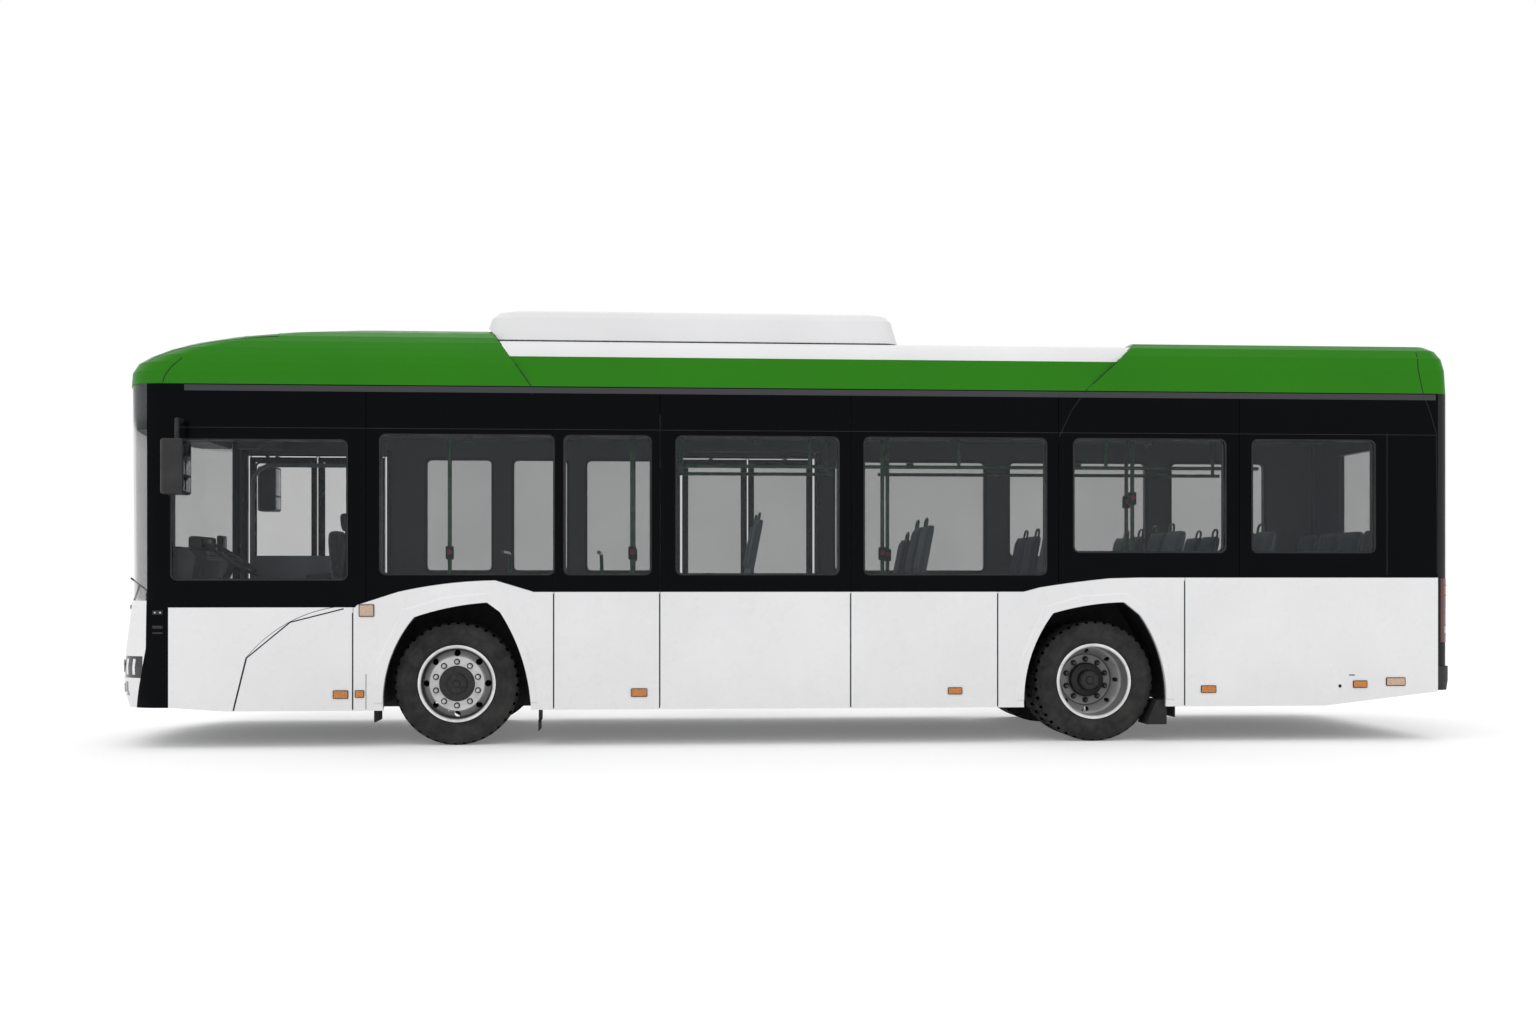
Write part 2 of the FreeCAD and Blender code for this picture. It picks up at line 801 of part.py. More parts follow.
def rear_wall():
    """Rear panel round the window and the engine lid."""
    half, sill, head = REAR_WINDOW
    shell = tail_shell.common(block(REAR_X, TAIL_X, -REACH, REACH, size.tail_rise_z + 195,
                                    size.band_top_z))
    window = block(REAR_X, TAIL_X + 100, -half, half, sill, head)
    bay = block(REAR_X, TAIL_X + 100, -size.lid_half_width + 60, size.lid_half_width - 60,
                size.lid_foot_z - size.lid_gap, size.lid_head_z - 60)
    return shell.cut([window, bay, lid_zone(size.lid_gap)])


def rear_glass():
    half, sill, head = REAR_WINDOW
    gap = size.seat_gap
    return block(TAIL_FACE_X + 4, TAIL_FACE_X + 12, -half + gap, half - gap, sill + gap,
                 head - gap)


def rear_bumper():
    outer = stack(tail_outline, (
        (size.tail_rise_z, -8, 0, size.tail_corner),
        (size.tail_rise_z + 80, -size.tail_setback, 0, size.tail_corner + 12),
        (size.tail_rise_z + 190, -size.tail_setback, 0, size.tail_corner + 12)), TAIL_X)
    return outer.cut(tail_body(size.panel_skin + size.lining).common(
        block(REAR_X, 0, -REACH, REACH, 0, REACH)))


TAIL_LAMP = (1120, 780, 1290)         # inner y, z low, z high


def tail_lamp_zone(side, grow):
    y_in, z0, z1 = TAIL_LAMP
    return block(REAR_X - 50, TAIL_X - 20 + grow, side * (y_in - grow), side * REACH, z0 - grow,
                 z1 + grow)


def tail_lamps():
    skin = tail_body(-4).cut(tail_body(30))
    return [skin.common(tail_lamp_zone(side, -size.seat_gap)) for side in (LEFT, RIGHT)]


HINGE_ROWS = (-430, 430)
HINGE_HALF, HINGE_EAR, HINGE_RADIUS, HINGE_PIN, HINGE_PLAY = 30, 18, 9, 4, 0.3


def hinge_rod(start_y, end_y, radius):
    z = size.lid_head_z + size.lid_gap / 2
    return rod(Vector(TAIL_FACE_X, start_y, z), Vector(TAIL_FACE_X, end_y, z), radius)


def hinge_ears():
    """Ears and pins on the rear wall that the lid's knuckles turn on."""
    parts = []
    for y in HINGE_ROWS:
        near = HINGE_HALF + HINGE_PLAY
        far = near + HINGE_EAR
        parts += [hinge_rod(y - far, y - near, HINGE_RADIUS),
                  hinge_rod(y + near, y + far, HINGE_RADIUS),
                  hinge_rod(y - far, y + far, HINGE_PIN)]
    return parts


def hinge_clearance():
    """Space for the lid's knuckles in the wall, and for the wall's ears in the lid."""
    room = HINGE_RADIUS + HINGE_PLAY
    knuckles, ears = [], []
    for y in HINGE_ROWS:
        near = HINGE_HALF + HINGE_PLAY
        far = near + HINGE_EAR + HINGE_PLAY
        knuckles.append(hinge_rod(y - near, y + near, room))
        ears += [hinge_rod(y - far, y - HINGE_HALF, room), hinge_rod(y + HINGE_HALF, y + far, room)]
    return knuckles, ears


LOUVRES = {"rows": 9, "pitch": 46, "slot": 20, "low_z": 780, "inner_y": 60, "outer_y": 640}


def louvre_slots():
    """Slanted slots in two columns that let air through the lid."""
    slots_cut = []
    for k in range(LOUVRES["rows"]):
        z = LOUVRES["low_z"] + k * LOUVRES["pitch"]
        face_x = TAIL_FACE_X - 60
        back_x = TAIL_FACE_X + size.lid_skin + 30
        rise = (back_x - face_x) * 0.35
        outline = wire(on_xz, (face_x, z), (back_x, z + rise), (back_x, z + rise + LOUVRES["slot"]),
                       (face_x, z + LOUVRES["slot"]))
        for side in (LEFT, RIGHT):
            slots_cut.append(side_prism(outline, side * LOUVRES["inner_y"],
                                        side * LOUVRES["outer_y"]))
    return slots_cut


def engine_lid():
    knuckles = [hinge_rod(y - HINGE_HALF, y + HINGE_HALF, HINGE_RADIUS) for y in HINGE_ROWS]
    panel = lid_zone(0).common(tail_body(0))
    bores = [hinge_rod(y - HINGE_HALF, y + HINGE_HALF, HINGE_PIN + HINGE_PLAY)
             for y in HINGE_ROWS]
    return fused([panel.cut(ear_room + louvre_slots())] + knuckles).cut(bores)


knuckle_room, ear_room = hinge_clearance()
rear_panel = rear_wall().cut([tail_lamp_zone(LEFT, 0), tail_lamp_zone(RIGHT, 0)] + knuckle_room)
feature("rear_wall", fused([rear_panel] + hinge_ears()))
feature("rear_window", rear_glass())
feature("tail_lamps", group(tail_lamps()))
TOW_Y, TOW_FRONT_Z, TOW_BORE, TOW_RADIUS, TOW_DEPTH = 430, 278, 16, 28, 80
TOW_REAR_Z = size.tail_rise_z + 50
tow_holes = [rod(Vector(REAR_X - 50, side * TOW_Y, TOW_REAR_Z), Vector(0, side * TOW_Y, TOW_REAR_Z),
                 TOW_RADIUS + 3) for side in (LEFT, RIGHT)]
feature("rear_bumper", rear_bumper().cut(tow_holes))
feature("engine_lid", engine_lid())


# ---------------------------------------------------------------- wheels

def revolved_body(label, profile, centre, turned):
    """A PartDesign body turned about its own Y axis. Profile rows are radius and Y formulas."""
    body = doc.addObject("PartDesign::Body", label)
    body.Label = label
    origin = {item.Role: item for item in body.Origin.OriginFeatures}
    sketch = body.newObject("Sketcher::SketchObject", label + "_profile")
    sketch.AttachmentSupport = [(origin["XY_Plane"], "")]
    sketch.MapMode = "FlatFace"
    points = [Vector(evaluate(r), evaluate(y), 0) for r, y in profile]
    count = len(points)
    for i in range(count):
        sketch.addGeometry(Part.LineSegment(points[i], points[(i + 1) % count]), False)
    for i in range(count):
        sketch.addConstraint(Sketcher.Constraint("Coincident", i, 2, (i + 1) % count, 1))
    for i, (r, y) in enumerate(profile):
        for kind, formula, value in (("DistanceX", r, points[i].x), ("DistanceY", y, points[i].y)):
            if abs(value) < 1e-9:
                other = -2 if kind == "DistanceX" else -1
                sketch.addConstraint(Sketcher.Constraint("PointOnObject", i, 1, other))
                continue
            index = sketch.addConstraint(Sketcher.Constraint(kind, -1, 1, i, 1, value))
            sketch.setExpression("Constraints[%d]" % index, with_sheet(formula))
    turn = body.newObject("PartDesign::Revolution", label + "_turn")
    turn.Profile = sketch
    turn.ReferenceAxis = (sketch, ["V_Axis"])
    turn.Angle = 360
    sketch.Visibility = False
    if turned:
        body.Placement = Placement(Vector(), Rotation(Vector(0, 0, 1), 180))
    for key, formula in zip("xyz", centre):
        body.setExpression(".Placement.Base." + key, with_sheet(formula))
    doc.recompute()
    return body


def evaluate(formula):
    """A formula of the sheet as a number, for first places only."""
    values = {alias: float(sheet.get(alias)) for alias, _ in SIZES}
    total, sign, token = 0.0, 1.0, ""
    for part in formula.replace("-", " - ").replace("+", " + ").split():
        if part in "+-":
            sign = -1.0 if part == "-" else 1.0
            continue
        total += sign * (values[part] if part in values else float(part))
        sign = 1.0
    return total


def round_holes(body, radius_at, radius, count):
    """A ring of round holes through a wheel disc, parallel to the axle."""
    origin = {item.Role: item for item in body.Origin.OriginFeatures}
    sketch = body.newObject("Sketcher::SketchObject", body.Label + "_hand_hole")
    sketch.AttachmentSupport = [(origin["XZ_Plane"], "")]
    sketch.MapMode = "FlatFace"
    centre = evaluate(radius_at)
    sketch.addGeometry(Part.Circle(Vector(centre, 0, 0), Vector(0, 0, 1), radius), False)
    sketch.addConstraint(Sketcher.Constraint("PointOnObject", 0, 3, -1))
    index = sketch.addConstraint(Sketcher.Constraint("DistanceX", -1, 1, 0, 3, centre))
    sketch.setExpression("Constraints[%d]" % index, with_sheet(radius_at))
    sketch.addConstraint(Sketcher.Constraint("Radius", 0, radius))
    pocket = body.newObject("PartDesign::Pocket", body.Label + "_hand_hole_cut")
    pocket.Profile = sketch
    pocket.Type = "ThroughAll"
    pocket.Midplane = True
    doc.recompute()
    ring = body.newObject("PartDesign::PolarPattern", body.Label + "_hand_holes")
    ring.Originals = [pocket]
    ring.Axis = (origin["Y_Axis"], [""])
    ring.Angle = 360
    ring.Occurrences = count
    body.Tip = ring
    sketch.Visibility = False
    doc.recompute()
    return body


# Wheel profiles, as radius and distance outboard of the tyre's middle (front) or of the
# plane where the two discs of a twin wheel meet (rear).
FRONT_RIM = (
    ("rim_flange_radius", "rim_half_width"),
    ("rim_flange_radius", "rim_half_width - 10"),
    ("bead_radius", "rim_half_width - 10"),
    ("bead_radius", "0 - rim_half_width + 10"),
    ("rim_flange_radius", "0 - rim_half_width + 10"),
    ("rim_flange_radius", "0 - rim_half_width"),
    ("bead_radius - rim_skin", "0 - rim_half_width"),
    ("bead_radius - rim_skin", "18"),
    ("bead_radius - 40", "40"),
    ("hub_radius + 70", "82"),
    ("hub_radius + 5", "86"),
    ("hub_radius", "86"),
    ("hub_radius", "0 - 44"),
    ("spindle_radius + seat_gap", "0 - 44"),
    ("spindle_radius + seat_gap", "72"),
    ("0", "72"),
    ("0", "142"),
    ("hub_radius - 42", "142"),
    ("hub_radius - 26", "132"),
    ("hub_radius - 24", "112"),
    ("hub_radius + 26", "106"),
    ("hub_radius + 31", "96"),
    ("hub_radius + 104", "96"),
    ("hub_radius + 113", "84"),
    ("bead_radius - 40", "60"),
    ("bead_radius - rim_skin", "40"),
    ("bead_radius - rim_skin", "rim_half_width"),
)
REAR_RIM = (
    ("rim_flange_radius", "274"),
    ("rim_flange_radius", "264"),
    ("bead_radius", "264"),
    ("bead_radius", "48"),
    ("rim_flange_radius", "48"),
    ("rim_flange_radius", "38"),
    ("bead_radius - rim_skin", "38"),
    ("bead_radius - rim_skin", "86"),
    ("hub_radius + 105", "2"),
    ("hub_radius + 105", "0 - 2"),
    ("bead_radius - rim_skin", "0 - 86"),
    ("bead_radius - rim_skin", "0 - 38"),
    ("rim_flange_radius", "0 - 38"),
    ("rim_flange_radius", "0 - 48"),
    ("bead_radius", "0 - 48"),
    ("bead_radius", "0 - 264"),
    ("rim_flange_radius", "0 - 264"),
    ("rim_flange_radius", "0 - 274"),
    ("bead_radius - rim_skin", "0 - 274"),
    ("bead_radius - rim_skin", "0 - 106"),
    ("hub_radius + 95", "0 - 14"),
    ("hub_radius", "0 - 14"),
    ("hub_radius", "0 - 150"),
    ("spindle_radius + seat_gap", "0 - 150"),
    ("spindle_radius + seat_gap", "60"),
    ("0", "60"),
    ("0", "150"),
    ("hub_radius - 34", "150"),
    ("hub_radius - 24", "140"),
    ("hub_radius - 22", "84"),
    ("hub_radius + 22", "70"),
    ("hub_radius + 30", "58"),
    ("hub_radius + 30", "14"),
    ("hub_radius + 95", "14"),
    ("bead_radius - rim_skin", "106"),
    ("bead_radius - rim_skin", "274"),
)


def tyre_profile(offset):
    """Tyre section round a middle plane that lies this far outboard."""
    middle = "%d" % offset if offset >= 0 else "0 - %d" % -offset

    def row(radius, sign, out):
        return (radius, "%s %s %s" % (middle, sign, out))

    return (
        row("bead_radius + seat_gap", "-", "107.7"), row("bead_radius + seat_gap", "+", "107.7"),
        row("rim_flange_radius + 2", "+", "107.7"), row("rim_flange_radius + 60", "+", "135"),
        row("rim_flange_radius + 92", "+", "tyre_half_width"), row("tyre_radius - 24", "+", "127"),
        row("tyre_radius - 6", "+", "112"), row("tyre_radius", "+", "98"),
        row("tyre_radius", "-", "98"), row("tyre_radius - 6", "-", "112"),
        row("tyre_radius - 24", "-", "127"), row("rim_flange_radius + 92", "-", "tyre_half_width"),
        row("rim_flange_radius + 60", "-", "135"), row("rim_flange_radius + 2", "-", "107.7"))


def wheel_place(side, axle, reach):
    """Formulas for a wheel centre on one side of an axle."""
    x = "overall_length / 2 - front_overhang"
    if axle == "rear":
        x += " - wheelbase"
    y = reach if side == LEFT else "0 - " + reach
    return (x, y, "tyre_radius")


SIDES = (("left", LEFT), ("right", RIGHT))
for name, side in SIDES:
    turned = side == RIGHT
    front = wheel_place(side, "front", "front_track_half")
    rim = revolved_body("rim_front_" + name, FRONT_RIM, front, turned)
    round_holes(rim, "hub_radius + 131", 25, 8)
    nodes.append(rim)
    nodes.append(revolved_body("tyre_front_" + name, tyre_profile(0), front, turned))
    half = "(twin_outer_half + twin_inner_half) / 2"
    rear = wheel_place(side, "rear", half)
    rim = revolved_body("rims_rear_" + name, REAR_RIM, rear, turned)
    round_holes(rim, "hub_radius + 129", 18, 8)
    nodes.append(rim)
    tyres = []
    for place in (156, -156):
        tyres.append(revolved_body("tyre_rear_%s_%d" % (name, len(tyres)), tyre_profile(place),
                                   rear, turned))
    bound_group("tyres_rear_" + name, tyres)


# ---------------------------------------------------------------- axles and steering

JAW = (40, 70, 110)         # half width along Y, and the jaw's near and far face from the axle


def front_axle():
    """Low beam that rises to a forked eye for each kingpin."""
    z, y = size.tyre_radius, size.kingpin_half
    half, near, far = JAW
    x0, x1 = AXLE_FRONT_X - half, AXLE_FRONT_X + half
    low = 195
    outline = wire(
        on_yz, (-650, low), (650, low), (y - 110, z - far - 40), (y - 60, z - far),
        (y + half, z - far), (y + half, z + far), (y - half - 45, z + far),
        (y - half - 45, z - 30), (620, low + 90), (-620, low + 90),
        (-y + half + 45, z - 30), (-y + half + 45, z + far), (-y - half, z + far),
        (-y - half, z - far), (-y + 60, z - far), (-y + 110, z - far - 40))
    beam = section_prism(outline, x0, x1)
    tools = []
    for side in (LEFT, RIGHT):
        tools.append(block(x0, x1, side * (y - half - 18), side * (y + half), z - near, z + near))
        tools.append(rod(Vector(AXLE_FRONT_X, side * y, z - far - 20),
                         Vector(AXLE_FRONT_X, side * y, z + far + 20),
                         size.kingpin_radius + size.seat_gap))
        eye = rod(Vector(AXLE_FRONT_X, side * y, z - far), Vector(AXLE_FRONT_X, side * y, z + far), half)
        tools.append(block(x0, x1, side * y, side * (y + half), z - far, z + far).cut(eye))
    beam = beam.cut(tools)
    rods = []
    for side in (LEFT, RIGHT):
        for x_end, x_beam in ((AXLE_FRONT_X - 260, x0), (AXLE_FRONT_X + 260, x1)):
            rods.append(rod(Vector(x_end, side * 430, 255), Vector(x_beam, side * 430, 255), 18))
    return fused([beam] + rods)


def knuckle(side):
    """Kingpin, carrier and spindle of one steered wheel."""
    z, y = size.tyre_radius, size.kingpin_half
    half, near, far = JAW
    gap = size.seat_gap
    x = AXLE_FRONT_X
    pin = rod(Vector(x, side * y, z - far - 6), Vector(x, side * y, z + far + 6),
              size.kingpin_radius)
    carrier = rod(Vector(x, side * y, z - near + gap), Vector(x, side * y, z + near - gap), 42)
    spindle_end = size.front_track_half + 72 - 2
    spindle = rod(Vector(x, side * y, z), Vector(x, side * spindle_end, z), size.spindle_radius)
    arm = block(x, x - 150, side * (y - 8), side * (y + 22), z - 15, z + 15)
    return fused([pin, carrier, spindle, arm])


BELLOWS_Y, BELLOWS_RADIUS = 400, 75


def rear_axle():
    """Portal casing with its final drive, a spindle each side and four radius rods."""
    z = size.tyre_radius
    x = AXLE_REAR_X
    inner = size.twin_inner_half - size.tyre_half_width - 20
    low_z = z - 130
    step_low = size.step_z - size.floor_skin - size.seat_gap
    tube = block(x - 80, x + 80, -inner + 60, inner - 60, low_z - 70, low_z + 70)
    casing = rod(Vector(x - 150, 0, low_z), Vector(x + 150, 0, low_z), 130)
    parts = [tube, casing]
    hub_start = inner - 120
    spindle_end = (size.twin_outer_half + size.twin_inner_half) / 2 + 58
    for side in (LEFT, RIGHT):
        parts.append(block(x - 110, x + 110, side * hub_start, side * inner, low_z - 90, z + 75))
        parts.append(rod(Vector(x, side * hub_start, z), Vector(x, side * spindle_end, z),
                         size.spindle_radius))
        parts.append(rod(Vector(x, side * BELLOWS_Y, low_z), Vector(x, side * BELLOWS_Y, step_low),
                         BELLOWS_RADIUS))
        for x_end, x_tube in ((x - 260, x - 80), (x + 260, x + 80)):
            parts.append(rod(Vector(x_end, side * 400, low_z), Vector(x_tube, side * 400, low_z),
                             20))
    return fused(parts)


feature("front_axle", front_axle())
feature("knuckle_left", knuckle(LEFT))
feature("knuckle_right", knuckle(RIGHT))
feature("rear_axle", rear_axle())


# ---------------------------------------------------------------- floor, frame and engine

ARCH_AHEAD, ARCH_BEHIND = 600, 625       # half lengths of a wheel housing
STEP_SKIN = 20


def floor_sections():
    """Floor boards, parted round the wheel housings, with a step up behind door 2's bay."""
    gap = size.panel_gap
    low, top = size.floor_z - size.floor_skin, size.floor_z
    step_low, step = size.step_z - size.floor_skin, size.step_z
    rear_low, rear = size.rear_floor_z - size.floor_skin, size.rear_floor_z
    wide, narrow = LINING_Y, size.housing_inner_half - gap
    front_edge = AXLE_FRONT_X + ARCH_AHEAD + gap
    inside = stack(nose_outline, nose_levels(size.nose_wall + size.seat_gap), front_edge)
    front = inside.common(block(front_edge, FRONT_X, -wide, wide, low, top))
    behind = AXLE_FRONT_X - ARCH_BEHIND - gap
    ahead = AXLE_REAR_X + ARCH_AHEAD + gap
    rear_edge = AXLE_REAR_X - ARCH_BEHIND - gap
    tail = at(ENGINE_BAY_STATION)
    riser1 = block(ahead, ahead + STEP_SKIN, -narrow, narrow, top, step)
    riser2 = block(rear_edge, rear_edge + STEP_SKIN, -narrow, narrow, step, rear)
    return [
        front,
        block(front_edge - gap, behind + gap, -narrow, narrow, low, top),
        block(behind, ahead + gap + STEP_SKIN, -wide, wide, low, top),
        fused([riser1, block(ahead, rear_edge + gap, -narrow, narrow, step_low, step), riser2]),
        block(rear_edge, tail, -wide, wide, rear_low, rear),
    ]


ENGINE_BAY_STATION = 6900


def housing(axle_x, foot_ahead, foot_behind, side):
    """Wheel housing: an arch drawn inwards from the side wall, closed at its inner end."""
    skin = size.housing_skin

    def outline(grow):
        return wire(
            on_xz, (axle_x + foot_ahead + grow, size.floor_z - size.floor_skin),
            (axle_x + foot_ahead + grow, 640), (axle_x + 340 + grow * 0.8, 1080 + grow * 0.6),
            ((axle_x, 1128 + grow), (axle_x - 360 - grow * 0.8, 1080 + grow * 0.6)),
            (axle_x - foot_behind - grow, 640),
            (axle_x - foot_behind - grow, size.floor_z - size.floor_skin))

    outer = side_prism(outline(0), side * size.housing_inner_half, side * LINING_Y)
    inner = side_prism(outline(-skin), side * (size.housing_inner_half + skin), side * LINING_Y)
    hollow = [inner]
    if axle_x == AXLE_REAR_X:
        hollow.append(block(axle_x - 125, axle_x + 125, side * size.housing_inner_half,
                            side * (size.housing_inner_half + skin), 0, size.step_z))
    return outer.cut(hollow)


FLAPS = (
    # axle X, distance behind the axle of the flap's face, foot z, how far inboard it starts
    (AXLE_FRONT_X, -618, 185, 60),
    (AXLE_FRONT_X, 634, 180, 60),
    (AXLE_REAR_X, 634, 190, 60),
)


def mud_flaps(side):
    """Rubber flaps hanging from the floor's edge before and behind the wheels."""
    top = size.floor_z - size.floor_skin - size.seat_gap
    return [block(axle_x - place, axle_x - place - 8, side * (LINING_Y - 330),
                  side * (HALF_WIDTH - inboard), foot, top)
            for axle_x, place, foot, inboard in FLAPS]


def platforms():
    """Raised cab floor, seat platforms and the cover over the engine bay."""
    top = size.floor_z
    cab = block(at(CAB_WALL_STATION), FRONT_X - 520, 130, LINING_Y, top, size.cab_floor_z)
    plates = [cab]
    for start, end, side, height in SEAT_PLATFORMS:
        plates.append(block(at(start), at(end), side * 480, side * LINING_Y, top, height))
    bay_x = at(ENGINE_BAY_STATION)
    shelf_top = ENGINE_COVER_Z
    bulkhead = block(bay_x, bay_x - 20, -LINING_Y, LINING_Y, size.rear_floor_z - size.floor_skin,
                     shelf_top)
    shelf = block(bay_x, TAIL_X, -LINING_Y, LINING_Y, shelf_top - 20, shelf_top)
    plates.append(fused([bulkhead, shelf]))
    return plates


ENGINE_COVER_Z = 1180
CAB_WALL_STATION = -795
SEAT_PLATFORMS = (
    # start and end station, side, height
    (1600, 2900, LEFT, 900),
    (3330, 4330, LEFT, 860),
    (3420, 4330, RIGHT, 800),
)

RAIL_Y, RAIL_WIDE, RAIL_HIGH, CROSS_WIDE = 400, 60, 60, 60
CROSS_STATIONS = (760, 1700, 3050, 3700, 4350)
CRADLE_STATIONS = (5640, 6500, 7560)
CRADLE_POSTS = (5640, 6500)


def cross_member(station, y_end, low, high):
    """A cross member in three lengths, parted by the two rails that it seats on."""
    x0, x1 = at(station), at(station) - CROSS_WIDE
    inner = RAIL_Y - size.seat_gap
    outer = RAIL_Y + RAIL_WIDE + size.seat_gap
    parts = [block(x0, x1, -inner, inner, low, high)]
    if y_end > outer:
        parts += [block(x0, x1, side * outer, side * y_end, low, high) for side in (LEFT, RIGHT)]
    return parts


def frame_rails():
    """Ladder frame under the floor, broken at the axles, with a raised engine cradle."""
    gap = size.seat_gap
    high = size.floor_z - size.floor_skin
    low = high - RAIL_HIGH
    cradle_low = size.tail_rise_z + 15
    cradle = cradle_low + 70
    runs = (
        # front end, rear end, z low, z high
        (FRONT_X - 480, AXLE_FRONT_X + 260, low, high),
        (AXLE_FRONT_X - 260, AXLE_REAR_X + 260, low, high),
        (AXLE_REAR_X - 260, TAIL_X + 60, cradle_low, cradle),
    )
    parts = []
    for front, rear, z0, z1 in runs:
        for side in (LEFT, RIGHT):
            parts.append(block(front, rear, side * RAIL_Y, side * (RAIL_Y + RAIL_WIDE), z0, z1))
    for station in CROSS_STATIONS:
        parts += cross_member(station, LINING_Y, size.skirt_z, high)
    parts += cross_member(-2120, 0, low, high)
    parts += cross_member(-1500, 0, low, high)
    for station in CRADLE_STATIONS:
        parts += cross_member(station, LINING_Y, cradle_low, cradle)
    floor_low = size.rear_floor_z - size.floor_skin
    for station in CRADLE_POSTS:
        for side in (LEFT, RIGHT):
            parts.append(block(at(station), at(station) - CROSS_WIDE, side * RAIL_Y,
                               side * (RAIL_Y + RAIL_WIDE), cradle + gap, floor_low - gap))
    return parts


def tow_sockets():
    """Sockets for the screw-in towing eyes, on the ends of the rails."""
    shapes = []
    for side in (LEFT, RIGHT):
        for x0, x1, z in ((FRONT_X - 480, FRONT_X - 90, TOW_FRONT_Z),
                          (TAIL_X + 60, REAR_X + 14, TOW_REAR_Z)):
            outwards = math.copysign(1, x1 - x0)
            start = Vector(x0 + outwards * size.seat_gap, side * TOW_Y, z)
            tube = rod(start, Vector(x1, side * TOW_Y, z), TOW_RADIUS)
            bore = rod(Vector(x1 - outwards * TOW_DEPTH, side * TOW_Y, z),
                       Vector(x1, side * TOW_Y, z), TOW_BORE)
            shapes.append(tube.cut(bore))
    return shapes


feature("floor", group(floor_sections()))
feature("wheel_housings", group(
    [housing(axle_x, ARCH_AHEAD, ARCH_BEHIND, side)
     for axle_x in (AXLE_FRONT_X, AXLE_REAR_X) for side in (LEFT, RIGHT)]
    + mud_flaps(LEFT) + mud_flaps(RIGHT)))
feature("platforms", group(platforms()))
feature("frame_rails", group(frame_rails()))
feature("tow_sockets", group(tow_sockets()))

engine = bound_box(
    "engine",
    ("0 - overall_length / 2 + tail_setback + tail_corner + 40",
     "0 - engine_wide / 2", "tail_rise_z + 85"),
    ("engine_long", "engine_wide", "engine_high"))
engine.Label = "engine"
nodes.append(engine)


# ---------------------------------------------------------------- ceiling

NOSE_LAP = 300
CEILING_SETBACK = 420
CASING_LAP = 40
CASING_DEEP = 190


def ceiling():
    """Flat lining under the roof, and a drive casing above each door."""
    z0, z1 = size.ceiling_z, size.ceiling_z + size.ceiling_skin
    nose_x = LEFT_START_X - NOSE_LAP
    inside = stack(nose_outline, nose_levels(size.nose_wall + size.seat_gap), nose_x)
    parts = [block(TAIL_X, nose_x, -LINING_Y, LINING_Y, z0, z1),
             inside.common(block(nose_x, FRONT_X - CEILING_SETBACK, -LINING_Y, LINING_Y, z0, z1))]
    for _, station in DOORS:
        casing = block(at(station - CASING_LAP), at(station + size.portal_width + CASING_LAP),
                       -LINING_Y, -LINING_Y + CASING_DEEP, size.leaf_head_z + 60, z0)
        parts.append(casing.common(inside) if station < 0 else casing)
    return fused(parts)


feature("ceiling", ceiling())


# ---------------------------------------------------------------- doors

def leaf_width():
    free = size.portal_width - 2 * size.leaf_side_gap - size.leaf_middle_gap
    return free / 2


ARM_LIFT = 8                              # between an arm and the leaf's end


def door_points(station, hand):
    """Post X and leaf pivot X of one leaf. Hand is +1 for the front leaf, -1 for the rear one."""
    wide = leaf_width()
    jamb = at(station) if hand > 0 else at(station) - size.portal_width
    edge = jamb - hand * size.leaf_side_gap
    post_x = edge + hand * size.post_beyond_leaf
    # The guide roller and the post lie equally far from the pivot, so the leaf turns back
    # by the angle that the arm turns in.
    arm = (wide + size.post_beyond_leaf - GUIDE_INSET) / 2
    return edge, post_x, post_x - hand * arm


def door_arm(station, hand):
    """Post with an arm above and below the leaf."""
    _, post_x, pivot_x = door_points(station, hand)
    foot, head = size.floor_z + size.seat_gap, size.leaf_head_z + 60 - size.seat_gap
    parts = [rod(Vector(post_x, PIVOT_Y, foot), Vector(post_x, PIVOT_Y, head), size.post_radius)]
    thick = size.arm_height
    half = size.arm_width / 2
    holes = []
    for z0 in (size.leaf_foot_z - ARM_LIFT - thick, size.leaf_head_z + ARM_LIFT):
        parts.append(block(post_x, pivot_x, PIVOT_Y - half, PIVOT_Y + half, z0, z0 + thick))
        parts.append(rod(Vector(pivot_x, PIVOT_Y, z0), Vector(pivot_x, PIVOT_Y, z0 + thick),
                         size.pin_radius + 8))
        holes.append(rod(Vector(pivot_x, PIVOT_Y, z0 - 5), Vector(pivot_x, PIVOT_Y, z0 + thick + 5),
                         size.pin_radius + size.seat_gap))
    return fused(parts).cut(holes)


def door_leaf(station, hand):
    """Glazed leaf frame with the two brackets that carry it on its arms."""
    edge, _, pivot_x = door_points(station, hand)
    far = edge - hand * leaf_width()
    half = size.leaf_skin / 2
    foot, head = size.leaf_foot_z, size.leaf_head_z
    rail = size.leaf_frame
    frame = block(edge, far, LEAF_Y - half, LEAF_Y + half, foot, head)
    frame = frame.cut(block(edge - hand * rail, far + hand * rail, LEAF_Y - half, LEAF_Y + half,
                            foot + 2 * rail, head - rail))
    parts = [frame]
    thick = size.arm_height
    inner = LEAF_Y + half
    for sign, end in ((-1, foot), (1, head)):
        z0, z1 = sorted((end, end - sign * thick))
        parts.append(block(pivot_x - 20, pivot_x + 20, inner, PIVOT_Y, z0, z1))
        parts.append(rod(Vector(pivot_x, PIVOT_Y, z0), Vector(pivot_x, PIVOT_Y, z1), 20))
        parts.append(rod(Vector(pivot_x, PIVOT_Y, end),
                         Vector(pivot_x, PIVOT_Y, end + sign * (ARM_LIFT + thick)),
                         size.pin_radius))
    return fused(parts)


